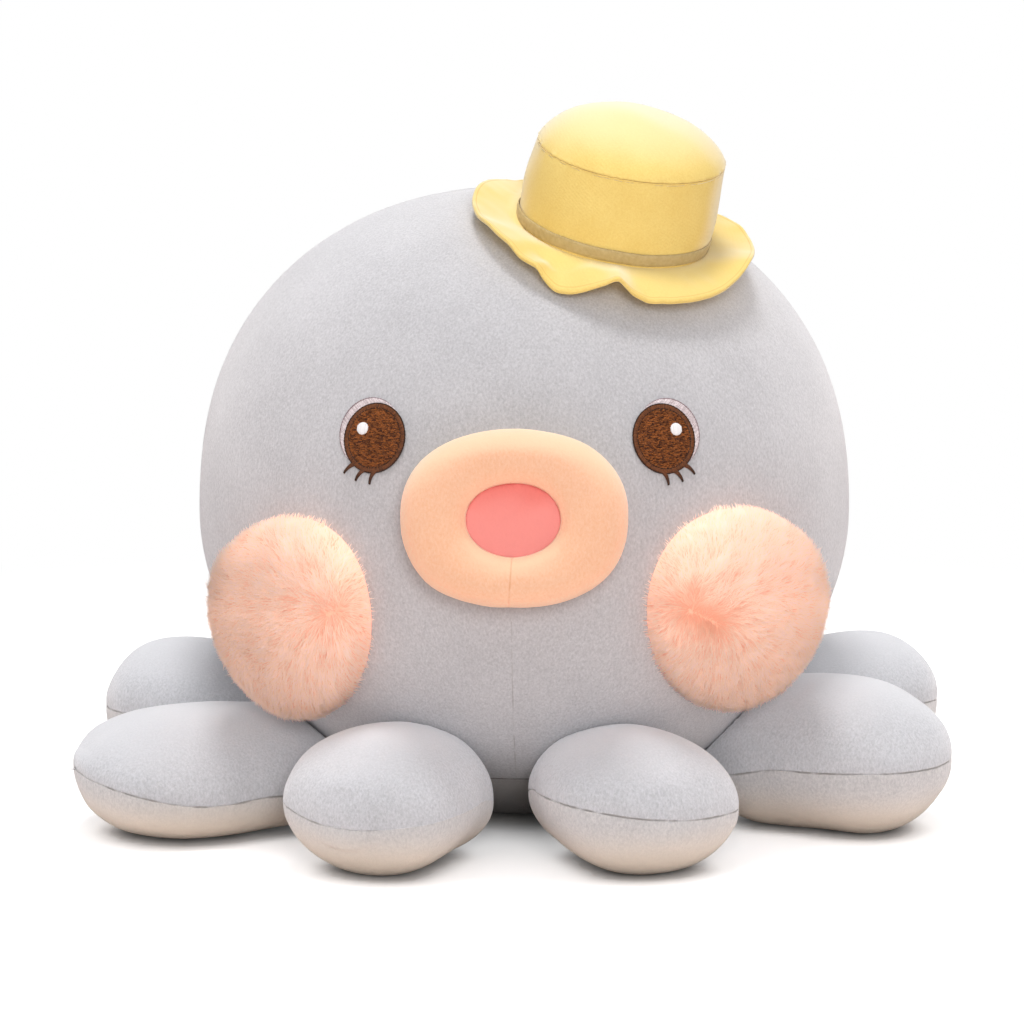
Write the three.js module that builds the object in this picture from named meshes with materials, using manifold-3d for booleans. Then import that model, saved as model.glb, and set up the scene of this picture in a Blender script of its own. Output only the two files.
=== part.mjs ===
// A stuffed octopus that sits on a flat base: a big velour ball with eight bulb-shaped arms sewn round
// its base seam, a padded muzzle with a sunk mouth, long-pile cheeks, embroidered eyes and a small
// bucket hat. Millimetres, +Z up, the face looks along -Y, and the origin is under the ball on the floor.
import * as THREE from "three";
import { mergeVertices } from "three/addons/utils/BufferGeometryUtils.js";
import Module from "manifold-3d";

// Cloth and sewing, shared by all pieces
const velourThickness = 1.6;
const seamGap = 0.3;
const cutterOverrun = 12;

// Ball: a revolved superellipse, rounder above its middle and drawn in towards the base
const ballRadius = 152;
const ballRise = 148;
const ballFall = 147;
const baseFlatDrop = 4;
const ballCentreHeight = ballFall - baseFlatDrop;
const upperRoundness = 2.2;
const lowerRoundness = 1.85;
const baseSeamHeight = 30;
const ballRows = 12;
const footRows = 4;
const ballPanelColumns = 8;

// Chin dart: the short seam that gathers the front panel between the muzzle and the base seam
const chinDartTop = 112;

// Arms: bulbs that widen outwards from a narrow sewn root; each arm has its own turn, reach and girth
const armReach = 210;
const armWidth = 90;
const armHeight = 65;
const armRootStep = 3;
const armColumns = 6;
// sideShare is the seam's rise on the arm's anticlockwise side and tipShare its rise at the tip, of the height
const armPlaces = [
  {
    name: "front_left",
    turn: -23.2,
    reachShare: 0.88, widthShare: 0.95, heightShare: 0.955,
    sideShare: -0.02, tipShare: -0.12,
  },
  {
    name: "front_right",
    turn: 22.8,
    reachShare: 0.845, widthShare: 0.995, heightShare: 0.945,
    sideShare: -0.07, tipShare: -0.06,
  },
  {
    name: "side_left",
    turn: -67.5,
    reachShare: 1.035, widthShare: 1.04, heightShare: 0.865,
    sideShare: -0.1, tipShare: 0.04,
  },
  {
    name: "side_right",
    turn: 72.9,
    reachShare: 0.98, widthShare: 0.99, heightShare: 1.075,
    sideShare: 0.03, tipShare: -0.04,
  },
  {
    name: "back_left",
    turn: -106,
    reachShare: 1.01, widthShare: 1, heightShare: 1.03,
    sideShare: 0.03, tipShare: 0,
  },
  {
    name: "back_right",
    turn: 115.2,
    reachShare: 1.035, widthShare: 0.98, heightShare: 1.08,
    sideShare: -0.06, tipShare: -0.02,
  },
  {
    name: "rear_left",
    turn: -156,
    reachShare: 0.98, widthShare: 1, heightShare: 1,
    sideShare: 0, tipShare: 0,
  },
  {
    name: "rear_right",
    turn: 158,
    reachShare: 0.98, widthShare: 1, heightShare: 1,
    sideShare: 0, tipShare: 0,
  },
];
// Stations from root to tip, as shares of the arm's length, width and height: along, width, seam, top, bottom
const armStationShares = [
  [0, 0.46, 0.38, 0.46, 0.3],
  [0.07, 0.58, 0.39, 0.55, 0.2],
  [0.18, 0.8, 0.44, 0.82, 0.1],
  [0.34, 0.93, 0.5, 0.96, 0.01],
  [0.52, 1, 0.515, 1, -0.008],
  [0.7, 0.965, 0.53, 0.97, -0.008],
  [0.84, 0.84, 0.54, 0.85, 0.065],
  [0.95, 0.44, 0.53, 0.67, 0.24],
  [1, 0, 0.53, 0.53, 0.53],
];

// Muzzle: a stuffed ring sewn to the face round a sunk mouth
const muzzleTurnDegrees = 0.6;
const muzzleLiftDegrees = 5.8;
const muzzleHalfWidth = 46;
const muzzleHalfHeight = 35.8;
const muzzleRise = 24;
const muzzleSquareness = 2.35;
const muzzleColumns = 24;
// Section of the ring from its outer seam over the crest and down to the mouth: outward, rise
const muzzleSectionShares = [
  [1, 0],
  [1.0, 0.36],
  [0.95, 0.7],
  [0.84, 0.92],
  [0.72, 1],
  [0.58, 0.96],
  [0.46, 0.84],
  [0.395, 0.66],
];
const mouthDishShare = 0.06;

// Cheeks: domed oval pads under long pile, each rolled outwards at its foot
const cheekPlaces = [
  { name: "left", side: -1, turn: 44.6, lift: -15, roll: 43.5, widthShare: 0.975, heightShare: 1.024 },
  { name: "right", side: 1, turn: 43.6, lift: -12.1, roll: 48.7, widthShare: 1.024, heightShare: 0.979 },
];
const cheekHalfWidth = 44.5;
const cheekHalfHeight = 56;
const cheekRise = 24;
const cheekPile = 8;
const cheekRoundness = 2.6;
const cheekColumns = 22;

// Eyes: flat embroidery, thread over thread, on the face panel
const eyeTurnDegrees = 25.3;
const eyeShiftDegrees = 1.2;
const eyeLiftDegrees = 18.3;
const irisHalfWidth = 14;
const irisHalfHeight = 15.3;
const irisBorder = 2;
const embroideryThickness = 0.9;
const backingGrowth = 0.7;
const backingShift = 1.9;
const highlightRadius = 2.7;
const highlightOut = 5.9;
const highlightUp = 4.5;
const lashLength = 6.3;
const lashRootWidth = 1.7;
const lashTipWidth = 0.8;
const eyeRows = 2;
const eyeColumns = 20;
// Where each lash leaves the border and which way it points, in degrees from straight out to the side
const lashAngles = [
  { fromDegrees: -126, toDegrees: -143 },
  { fromDegrees: -108, toDegrees: -133 },
  { fromDegrees: -90, toDegrees: -114 },
];

// Hat: a bucket hat sewn on the right of the head, leaning right and forward
const hatRight = 41.8;
const hatForward = 57;
const hatSink = 2.5;
const hatLeanRightDegrees = 12.5;
const hatLeanForwardDegrees = 13.2;
const hatBaseRadius = 43;
const hatTopRadius = 41.3;
const hatSideHeight = 37.3;
const hatDomeRise = 17.5;
const hatDomeRoundness = 2.2;
const hatDomeEase = 0.75;
const hatClothThickness = 1.4;
const hatSideBulge = 1.2;
const bandWidth = 5.2;
const bandFoot = 0.8;
const bandThickness = 0.8;
const brimRadius = 64.5;
const brimLayerThickness = 0.9;
const brimWave = 15;
const hatColumns = 24;
const brimColumns = 60;
// Height of the brim's edge round the hat, from the right towards the back: turn, rise
const brimWaveShares = [
  [0, 0.31],
  [0.04, 0.33],
  [0.075, 0.4],
  [0.115, 0.35],
  [0.16, 0.12],
  [0.2, 0],
  [0.26, -0.12],
  [0.32, -0.02],
  [0.38, 0.05],
  [0.42, 0.2],
  [0.455, 0.3],
  [0.5, 0.2],
  [0.55, 0.08],
  [0.595, 0.1],
  [0.622, -0.05],
  [0.644, -0.35],
  [0.658, -0.42],
  [0.668, -0.46],
  [0.68, -0.72],
  [0.694, -0.9],
  [0.71, -0.87],
  [0.73, -0.65],
  [0.747, -0.4],
  [0.761, -0.2],
  [0.77, -0.34],
  [0.779, -0.49],
  [0.792, -0.59],
  [0.82, -0.63],
  [0.858, -0.57],
  [0.892, -0.39],
  [0.925, -0.05],
  [0.955, 0.26],
];

const wasm = await Module();
wasm.setup();
const degrees = Math.PI / 180;

// Geometry of a triangle list, with shared corners, no collapsed faces, and all faces outwards.
function closedGeometry(corners) {
  const loose = new THREE.BufferGeometry().setFromPoints(corners);
  const merged = mergeVertices(loose, 1e-3);
  const all = Array.from(merged.index.array);
  const kept = [];
  let volume = 0;
  const place = [0, 1, 2].map(() => new THREE.Vector3());
  for (let i = 0; i < all.length; i += 3) {
    const [a, b, c] = all.slice(i, i + 3);
    if (a === b || b === c || c === a) continue;
    kept.push(a, b, c);
    [a, b, c].forEach((n, k) => place[k].fromBufferAttribute(merged.attributes.position, n));
    volume += place[0].dot(place[1].cross(place[2]));
  }
  merged.setIndex(volume < 0 ? kept.reverse() : kept);
  return merged;
}

// Closed solid between two surfaces: at(u, v, layer) is a point of layer 0 or 1, with u and v from 0 to 1.
function between(at, uSteps, vSteps, looped = false) {
  const corners = [];
  const quad = (a, b, c, d) => corners.push(a, b, c, a, c, d);
  const point = (i, j, layer) => at(i / uSteps, (looped ? j % vSteps : j) / vSteps, layer);
  for (let i = 0; i < uSteps; i++)
    for (let j = 0; j < vSteps; j++) {
      quad(point(i, j, 0), point(i + 1, j, 0), point(i + 1, j + 1, 0), point(i, j + 1, 0));
      quad(point(i, j, 1), point(i, j + 1, 1), point(i + 1, j + 1, 1), point(i + 1, j, 1));
    }
  for (let j = 0; j < vSteps; j++) {
    quad(point(0, j, 0), point(0, j + 1, 0), point(0, j + 1, 1), point(0, j, 1));
    quad(point(uSteps, j + 1, 0), point(uSteps, j, 0), point(uSteps, j, 1), point(uSteps, j + 1, 1));
  }
  if (!looped)
    for (let i = 0; i < uSteps; i++) {
      quad(point(i + 1, 0, 0), point(i, 0, 0), point(i, 0, 1), point(i + 1, 0, 1));
      quad(point(i, vSteps, 0), point(i + 1, vSteps, 0), point(i + 1, vSteps, 1), point(i, vSteps, 1));
    }
  return closedGeometry(corners);
}

function toSolid(geometry) {
  const plain = new THREE.BufferGeometry();
  const source = geometry.index ? geometry.toNonIndexed() : geometry;
  plain.setAttribute("position", source.getAttribute("position"));
  const merged = mergeVertices(plain, 1e-3);
  const vertProperties = merged.attributes.position.array;
  const triVerts = new Uint32Array(merged.index.array);
  return new wasm.Manifold(new wasm.Mesh({ numProp: 3, vertProperties, triVerts }));
}

function toGeometry(solid) {
  const mesh = solid.getMesh();
  const corners = Array.from(mesh.triVerts, (n) =>
    new THREE.Vector3().fromArray(mesh.vertProperties, n * mesh.numProp),
  );
  return closedGeometry(corners);
}

// Signed power, which keeps the side of zero that its base is on.
const signedPower = (base, power) => Math.sign(base) * Math.abs(base) ** power;

// Superellipse round a centre line: the point at an angle, for half sizes and a squareness.
function superellipse(angle, halfWidth, halfHeight, squareness) {
  const x = halfWidth * signedPower(Math.cos(angle), 2 / squareness);
  const y = halfHeight * signedPower(Math.sin(angle), 2 / squareness);
  return [x, y];
}

// Radius and height of the ball's surface at a profile angle, -90 degrees below to 90 above, grown by lift.
function ballProfile(angle, lift) {
  const roundness = angle < 0 ? lowerRoundness : upperRoundness;
  const rise = (angle < 0 ? ballFall : ballRise) + lift;
  const [radius, height] = superellipse(angle, ballRadius + lift, rise, roundness);
  return [radius, ballCentreHeight + height];
}

// Profile angle at which the ball's lower half, grown by lift, passes a height.
function ballAngleAt(height, lift) {
  const share = (ballCentreHeight - height) / (ballFall + lift);
  return -Math.asin(share ** (lowerRoundness / 2));
}

// Height of the ball's lower half at a radius.
function ballUndersideAt(radius) {
  const share = (1 - (radius / ballRadius) ** lowerRoundness) ** (1 / lowerRoundness);
  return ballCentreHeight - ballFall * share;
}

// Height of the ball's upper half at a radius.
function ballTopAt(radius) {
  const share = (1 - (radius / ballRadius) ** upperRoundness) ** (1 / upperRoundness);
  return ballCentreHeight + ballRise * share;
}

// Point on the ball, grown by lift, in a direction from its centre.
function ballPointTowards(direction, lift) {
  const roundness = direction.z < 0 ? lowerRoundness : upperRoundness;
  const rise = (direction.z < 0 ? ballFall : ballRise) + lift;
  const level = Math.hypot(direction.x, direction.y) / (ballRadius + lift);
  const upright = Math.abs(direction.z) / rise;
  const reach = (level ** roundness + upright ** roundness) ** (-1 / roundness);
  const point = direction.clone().multiplyScalar(reach);
  point.z += ballCentreHeight;
  return point;
}

// Places x to the right, y up and lift off the ball, round a spot given by its turn and lift in degrees.
function spotOnBall(turnDegrees, liftDegrees) {
  const turn = turnDegrees * degrees;
  const tilt = liftDegrees * degrees;
  const level = new THREE.Vector3(Math.sin(turn), -Math.cos(turn), 0);
  const right = new THREE.Vector3(Math.cos(turn), Math.sin(turn), 0);
  const out = level.clone().multiplyScalar(Math.cos(tilt));
  out.z = Math.sin(tilt);
  const up = new THREE.Vector3().crossVectors(level, right).multiplyScalar(Math.cos(tilt));
  up.addScaledVector(level, -Math.sin(tilt));
  return (x, y, lift) => {
    const away = Math.hypot(x, y);
    const angle = away / ballRadius;
    const direction = out.clone().multiplyScalar(Math.cos(angle));
    if (away > 0) {
      direction.addScaledVector(right, (Math.sin(angle) * x) / away);
      direction.addScaledVector(up, (Math.sin(angle) * y) / away);
    }
    return ballPointTowards(direction, lift);
  };
}

// The whole ball grown by lift, as a revolved solid that cuts what sits on it.
function ballCutter(lift) {
  const steps = 4 * ballRows;
  const profile = [];
  for (let i = 0; i <= steps; i++) {
    const [radius, height] = ballProfile((i / steps - 1 / 2) * Math.PI, lift);
    profile.push(new THREE.Vector2(Math.max(radius, 0), height));
  }
  profile[0].x = 0;
  profile[steps].x = 0;
  const revolved = new THREE.LatheGeometry(profile, 8 * ballPanelColumns);
  return toSolid(revolved.rotateX(Math.PI / 2));
}

const root = new THREE.Group();
root.name = "plush_octopus";

function cloth(colour, roughness = 0.9) {
  return new THREE.MeshStandardMaterial({ color: colour, roughness, metalness: 0 });
}
const greyVelour = cloth("#c9c9cd");
const greyVelourUnder = cloth("#c8bdb6");
const polyesterFill = cloth("#f4f3ef", 1);
const peachVelour = cloth("#fac8a3");
const mouthVelour = cloth("#fb928a");
const cheekPlush = cloth("#f9cbb2", 1);
const irisThread = cloth("#65381c", 0.6);
const borderThread = cloth("#4a2713", 0.6);
const whiteThread = cloth("#f2eeee", 0.6);
const pinkThread = cloth("#cdb6b4", 0.6);
const yellowTwill = cloth("#f7df78");
const tanRibbon = cloth("#c0a068", 0.7);

function addPiece(name, geometry, material) {
  const piece = new THREE.Mesh(geometry, material);
  piece.name = name;
  root.add(piece);
  return piece;
}

// Skin of the ball between two turns, from the base seam to the top.
function ballPanel(fromTurn, toTurn, columns) {
  const low = ballAngleAt(baseSeamHeight, 0);
  return between(
    (u, v, layer) => {
      const [radius, height] = ballProfile(low + (Math.PI / 2 - low) * u, -layer * velourThickness);
      const turn = (fromTurn + (toTurn - fromTurn) * v) * degrees;
      return new THREE.Vector3(radius * Math.sin(turn), -radius * Math.cos(turn), height);
    },
    ballRows,
    columns,
  );
}

// Front panel: half the ball in one piece, slit at the chin dart.
function addFrontPanel() {
  const panel = toSolid(ballPanel(-90, 90, 2 * ballPanelColumns));
  const dartHeight = chinDartTop - baseSeamHeight + cutterOverrun;
  const slit = new THREE.BoxGeometry(seamGap, ballRadius, dartHeight);
  slit.translate(0, -ballRadius / 2 - cutterOverrun, chinDartTop - dartHeight / 2);
  addPiece("body_front_panel", toGeometry(panel.subtract(toSolid(slit))), greyVelour);
}

// Back panels: two quarters that meet in a seam down the back, a seam's gap off the front panel.
function addBackPanels() {
  for (const [name, from, to, side] of [
    ["body_back_left_panel", -180, -90, -1],
    ["body_back_right_panel", 90, 180, 1],
  ]) {
    const panel = ballPanel(from, to, ballPanelColumns);
    panel.translate((side * seamGap) / 2, seamGap, 0);
    addPiece(name, panel, greyVelour);
  }
}

// Profile of the ball's foot from the base seam down to the flat bottom, inset by the cloth.
function footProfile(inset, topHeight) {
  const high = ballAngleAt(topHeight, -inset);
  const low = ballAngleAt(inset, -inset);
  const points = [];
  for (let i = 0; i <= footRows; i++) {
    const [radius, height] = ballProfile(high + ((low - high) * i) / footRows, -inset);
    points.push(new THREE.Vector2(radius, height));
  }
  points.push(new THREE.Vector2(0, inset));
  return points;
}

// Base panel: a round dish of cloth, flat where the toy stands.
function addBasePanel() {
  const top = baseSeamHeight - seamGap;
  const outer = footProfile(0, top);
  const inner = footProfile(velourThickness, top);
  const profile = [...outer.reverse(), ...inner];
  const dish = new THREE.LatheGeometry(profile, 4 * ballPanelColumns);
  addPiece("body_base_panel", closedCopy(dish.rotateX(Math.PI / 2)), greyVelourUnder);
}

// A revolved or extruded geometry as plain closed triangles.
function closedCopy(geometry) {
  const flat = geometry.index ? geometry.toNonIndexed() : geometry;
  const places = flat.getAttribute("position");
  const corners = [];
  for (let i = 0; i < places.count; i++) corners.push(new THREE.Vector3().fromBufferAttribute(places, i));
  return closedGeometry(corners);
}

// Body stuffing: fills the skins, a seam's gap inside them.
function addBodyStuffing() {
  const inset = velourThickness + seamGap;
  const low = ballAngleAt(baseSeamHeight, 0);
  const profile = footProfile(inset, baseSeamHeight).reverse();
  for (let i = 1; i <= ballRows; i++) {
    const [radius, height] = ballProfile(low + ((Math.PI / 2 - low) * i) / ballRows, -inset);
    profile.push(new THREE.Vector2(i < ballRows ? radius : 0, height));
  }
  const fill = new THREE.LatheGeometry(profile, 4 * ballPanelColumns);
  addPiece("body_stuffing", closedCopy(fill.rotateX(Math.PI / 2)), polyesterFill);
}

const baseSeamRadius = ballProfile(ballAngleAt(baseSeamHeight, 0), 0)[0];
const armRoot = baseSeamRadius + armRootStep;
const armRootTop = ballUndersideAt(armRoot) - 2 * seamGap;

// Height of an arm's seam line at a station.
function armSeamHeight(arm, station) {
  const [along, , seam] = armStationShares[station];
  return (seam + arm.tipShare * along ** 3) * armHeight * arm.heightShare;
}

// Point of an arm that lies along +X: station, share across from side to side, upper or lower half, inset.
function armPoint(arm, station, across, upper, inset) {
  const [along, width, , top, bottom] = armStationShares[station];
  const height = armHeight * arm.heightShare;
  const wide = armWidth * arm.widthShare;
  const length = armReach * arm.reachShare - armRoot;
  const seamHeight = armSeamHeight(arm, station);
  const tipped = station === armStationShares.length - 1;
  const crest = tipped ? 0 : (station === 0 ? armRootTop : top * height) - seamHeight;
  const depth = tipped ? 0 : seamHeight - bottom * height;
  const angle = across * Math.PI;
  const x = armRoot + along * length * (1 - inset / length);
  const y = (width / 2) * wide * (1 - (2 * inset) / wide) * Math.cos(angle);
  const swell = Math.sin(angle) * (1 - (2 * inset) / height);
  const rolled = arm.sideShare * height * width * Math.cos(angle) * Math.abs(Math.cos(angle));
  const z = seamHeight + (upper ? crest : -depth) * swell + rolled;
  return new THREE.Vector3(x, y, Math.max(z, 0));
}

// One arm: an upper and a lower panel that meet in the side seam, and the stuffing between them.
function addArm(arm) {
  const last = armStationShares.length - 1;
  const panel = (upper, lift) =>
    between(
      (u, v, layer) => armPoint(arm, Math.round(u * last), v, upper, layer * velourThickness),
      last,
      armColumns,
    ).translate(0, 0, lift);
  const fill = between(
    (u, v, layer) => armPoint(arm, Math.round(u * last), v, layer === 0, velourThickness + seamGap),
    last,
    armColumns,
  );
  for (const [part, geometry, material] of [
    ["top_panel", panel(true, seamGap), greyVelour],
    ["bottom_panel", panel(false, 0), greyVelourUnder],
    ["stuffing", fill, polyesterFill],
  ]) {
    const cut = toGeometry(toSolid(geometry).subtract(headCutter));
    addPiece(`arm_${arm.name}_${part}`, cut, material).rotation.z = (arm.turn - 90) * degrees;
  }
}

// Section of the muzzle as outward and lift sizes, moved inwards from its outer face by inset.
function muzzleSection(inset) {
  const halfSize = (muzzleHalfWidth + muzzleHalfHeight) / 2;
  const points = muzzleSectionShares.map(
    ([out, rise]) => new THREE.Vector2(out * halfSize, seamGap + rise * muzzleRise),
  );
  return points.map((point, i) => {
    const before = points[Math.max(i - 1, 0)];
    const after = points[Math.min(i + 1, points.length - 1)];
    const along = after.clone().sub(before).normalize();
    const moved = point.clone().add(new THREE.Vector2(-along.y, along.x).multiplyScalar(inset));
    if (i === 0) moved.y = point.y;
    return moved.setX(moved.x / halfSize);
  });
}

// Muzzle: the ring of cloth, open at its bottom seam, the filling under it and the mouth's patch.
function addMuzzle() {
  const spot = spotOnBall(muzzleTurnDegrees, muzzleLiftDegrees);
  const skins = [muzzleSection(0), muzzleSection(velourThickness)];
  const last = muzzleSectionShares.length - 1;
  const slit = seamGap / muzzleHalfHeight;
  const at = (share, angle, lift) => {
    const [x, y] = superellipse(angle, muzzleHalfWidth, muzzleHalfHeight, muzzleSquareness);
    return spot(x * share, y * share, lift);
  };
  const ring = between(
    (u, v, layer) => {
      const { x, y } = skins[layer][Math.round(u * last)];
      return at(x, -Math.PI / 2 + slit + v * (2 * Math.PI - 2 * slit), y);
    },
    last,
    muzzleColumns,
  );
  addPiece("muzzle_ring", ring, peachVelour);

  const under = muzzleSection(velourThickness + seamGap);
  const floorLift = under[last].y - velourThickness;
  const fillSteps = last + 1;
  const fill = between(
    (u, v, layer) => {
      const station = Math.round(u * fillSteps);
      const centre = station === 0;
      const { x, y } = centre ? { x: 0, y: floorLift } : under[fillSteps - station];
      return at(x, 2 * Math.PI * v, layer === 0 && station < fillSteps ? y : seamGap);
    },
    fillSteps,
    muzzleColumns,
    true,
  );
  addPiece("muzzle_stuffing", fill, polyesterFill);

  const mouthEdge = skins[0][last].x - seamGap / muzzleHalfHeight;
  const dish = mouthDishShare * muzzleRise;
  const patch = between(
    (u, v, layer) => {
      const lift = floorLift + seamGap + velourThickness * (1 - layer) + dish * u * u;
      return at(mouthEdge * u, 2 * Math.PI * v, lift);
    },
    2,
    muzzleColumns,
    true,
  );
  addPiece("mouth_patch", patch, mouthVelour);
}

// Dome on the ball: lift at a share of the way from its centre to its edge.
function domeLift(share, rise) {
  return seamGap + rise * (1 - share ** cheekRoundness) ** (1 / cheekRoundness);
}

// Cheek: a cover of long pile over a domed pad of stuffing.
function addCheek({ name, side, turn, lift, roll, widthShare, heightShare }) {
  const spot = spotOnBall(side * turn, lift);
  const halfWidth = cheekHalfWidth * widthShare;
  const halfHeight = cheekHalfHeight * heightShare;
  const ahead = Math.cos(THREE.MathUtils.degToRad(roll));
  const aside = Math.sin(THREE.MathUtils.degToRad(roll));
  const ringShares = [0, 0.4, 0.72, 0.93, 1];
  const last = ringShares.length - 1;
  const at = (u, v, inset, liftOf) => {
    const share = ringShares[Math.round(u * last)];
    const [x, y] = superellipse(2 * Math.PI * v, halfWidth - inset, halfHeight - inset, 2);
    const across = share * (x * ahead - y * aside);
    const up = share * (x * aside + y * ahead);
    return spot(side * across, up, liftOf(share));
  };
  const cover = between(
    (u, v, layer) => at(u, v, layer * cheekPile, (share) => domeLift(share, cheekRise - layer * cheekPile)),
    last,
    cheekColumns,
    true,
  );
  const inset = cheekPile + seamGap;
  const pad = between(
    (u, v, layer) => at(u, v, inset, (share) => (layer === 0 ? domeLift(share, cheekRise - inset) : seamGap)),
    last,
    cheekColumns,
    true,
  );
  addPiece(`cheek_${name}_cover`, cover, cheekPlush);
  addPiece(`cheek_${name}_stuffing`, pad, polyesterFill);
}

// Flat oval of thread on the ball, from a low to a high lift, round a centre in the spot's own plane.
function threadOval(spot, side, x, y, halfWidth, halfHeight, low, high) {
  return toSolid(
    between(
      (u, v, layer) => {
        const angle = 2 * Math.PI * v;
        const out = x + halfWidth * u * Math.cos(angle);
        const up = y + halfHeight * u * Math.sin(angle);
        return spot(side * out, up, layer === 0 ? high : low);
      },
      eyeRows,
      eyeColumns,
      true,
    ),
  );
}

// Lash: a tapered bar of thread from inside the border outwards, grown on all sides to cut its neighbours.
function lash(spot, side, { fromDegrees, toDegrees }, high, growth) {
  const startX = (irisHalfWidth - irisBorder / 2) * -Math.cos((180 + fromDegrees) * degrees);
  const startY = (irisHalfHeight - irisBorder / 2) * Math.sin(fromDegrees * degrees);
  const wayX = -Math.cos((180 + toDegrees) * degrees);
  const wayY = Math.sin(toDegrees * degrees);
  return toSolid(
    between(
      (u, v, layer) => {
        const width = lashRootWidth + (lashTipWidth - lashRootWidth) * u + 2 * growth;
        const half = width * (v - 1 / 2);
        const length = u * (lashLength + irisBorder / 2 + growth);
        const x = startX + wayX * length - wayY * half;
        const y = startY + wayY * length + wayX * half;
        return spot(side * x, y, layer === 0 ? high + growth : seamGap - growth);
      },
      3,
      1,
    ),
  );
}

// Eye: a pale backing that shows as a crescent, a dark border with its lashes, the iris and its highlight.
function addEye(name, side) {
  const spot = spotOnBall(side * eyeTurnDegrees + eyeShiftDegrees, eyeLiftDegrees);
  const high = seamGap + embroideryThickness;
  const oval = (x, y, halfWidth, halfHeight) =>
    threadOval(spot, side, x, y, halfWidth, halfHeight, seamGap, high);
  const cut = (x, y, halfWidth, halfHeight) =>
    threadOval(spot, side, x, y, halfWidth, halfHeight, -seamGap, high + seamGap);
  const fillWidth = irisHalfWidth - irisBorder;
  const fillHeight = irisHalfHeight - irisBorder;

  const glint = oval(-highlightOut, highlightUp, highlightRadius, highlightRadius);
  const glintRadius = highlightRadius + seamGap;
  const iris = oval(0, 0, fillWidth, fillHeight).subtract(
    cut(-highlightOut, highlightUp, glintRadius, glintRadius),
  );
  let border = oval(0, 0, irisHalfWidth, irisHalfHeight);
  for (const angles of lashAngles) border = border.add(lash(spot, side, angles, high, 0));
  border = border.subtract(cut(0, 0, fillWidth + seamGap, fillHeight + seamGap));
  let backing = oval(
    -backingShift,
    backingShift,
    irisHalfWidth + backingGrowth,
    irisHalfHeight + backingGrowth,
  ).subtract(cut(0, 0, irisHalfWidth + seamGap, irisHalfHeight + seamGap));
  for (const angles of lashAngles) backing = backing.subtract(lash(spot, side, angles, high, seamGap));

  addPiece(`eye_${name}_backing`, toGeometry(backing), pinkThread);
  addPiece(`eye_${name}_border`, toGeometry(border), borderThread);
  addPiece(`eye_${name}_iris`, toGeometry(iris), irisThread);
  addPiece(`eye_${name}_highlight`, toGeometry(glint), whiteThread);
}

// The hat's own frame: its axis leans right and forward, and its base ring lies round the sewn place.
const hatFrame = new THREE.Matrix4();
{
  const leanRight = Math.sin(hatLeanRightDegrees * degrees);
  const leanForward = Math.sin(hatLeanForwardDegrees * degrees);
  const up = new THREE.Vector3(leanRight, -leanForward, 1).normalize();
  const right = new THREE.Vector3(1, 0, 0).addScaledVector(up, -up.x).normalize();
  const back = new THREE.Vector3().crossVectors(up, right);
  hatFrame.makeBasis(right, back, up);
  const above = ballTopAt(Math.hypot(hatRight, hatForward));
  hatFrame.setPosition(hatRight, -hatForward, above - hatSink);
}

function hatPoint(turnShare, radius, height) {
  const angle = 2 * Math.PI * turnShare;
  const point = new THREE.Vector3(radius * Math.cos(angle), radius * Math.sin(angle), height);
  return point.applyMatrix4(hatFrame);
}

// Radius of the crown's side at a share of its height: a slight barrel between its two seams.
function crownRadius(share) {
  const straight = hatBaseRadius + (hatTopRadius - hatBaseRadius) * share;
  return straight + hatSideBulge * Math.sin(Math.PI * share);
}

// Height of the brim's edge at a turn, read between the table's places.
function brimEdgeHeight(turnShare) {
  const places = [...brimWaveShares, [1, brimWaveShares[0][1]]];
  const next = places.findIndex(([turn]) => turn > turnShare);
  const [fromTurn, fromRise] = places[next - 1];
  const [toTurn, toRise] = places[next];
  const share = (turnShare - fromTurn) / (toTurn - fromTurn);
  const eased = (1 - Math.cos(Math.PI * share)) / 2;
  return (fromRise + (toRise - fromRise) * eased) * brimWave;
}

// Height of the crown's round top over its seam at a share of its radius.
function domeHeight(share) {
  return hatDomeRise * (1 - share ** hatDomeRoundness) ** hatDomeEase;
}

// Crown: a domed round top seamed to a barrel side, with a ribbon round the foot of the side.
function addCrown(head) {
  const top = between(
    (u, v, layer) => {
      const share = Math.sin((u * Math.PI) / 2);
      const height = hatSideHeight + seamGap + domeHeight(share) + (1 - layer) * hatClothThickness;
      return hatPoint(v, hatTopRadius * share, height);
    },
    4,
    hatColumns,
    true,
  );
  const side = between(
    (u, v, layer) => hatPoint(v, crownRadius(u) - layer * hatClothThickness, hatSideHeight * u),
    3,
    hatColumns,
    true,
  );
  const band = between(
    (u, v, layer) => {
      const height = bandFoot + bandWidth * u;
      const radius = crownRadius(height / hatSideHeight) + seamGap;
      return hatPoint(v, radius + bandThickness * (1 - layer), height);
    },
    1,
    hatColumns,
    true,
  );
  addPiece("hat_crown_top", toGeometry(toSolid(top).subtract(head)), yellowTwill);
  addPiece("hat_crown_side", toGeometry(toSolid(side).subtract(head)), yellowTwill);
  addPiece("hat_band", toGeometry(toSolid(band).subtract(head)), tanRibbon);
}

// Brim: two layers of cloth that spread from the foot of the crown in loose waves.
function addBrim(head) {
  const inner = hatBaseRadius - hatClothThickness;
  for (const [name, drop] of [
    ["hat_brim_upper", seamGap],
    ["hat_brim_under", 2 * seamGap + brimLayerThickness],
  ]) {
    const layerOf = between(
      (u, v, layer) => {
        const radius = inner + (brimRadius - inner) * u;
        const height = brimEdgeHeight(v) * u ** 1.4 - drop - layer * brimLayerThickness;
        return hatPoint(v, radius, height);
      },
      3,
      brimColumns,
      true,
    );
    addPiece(name, toGeometry(toSolid(layerOf).subtract(head)), yellowTwill);
  }
}

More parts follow.
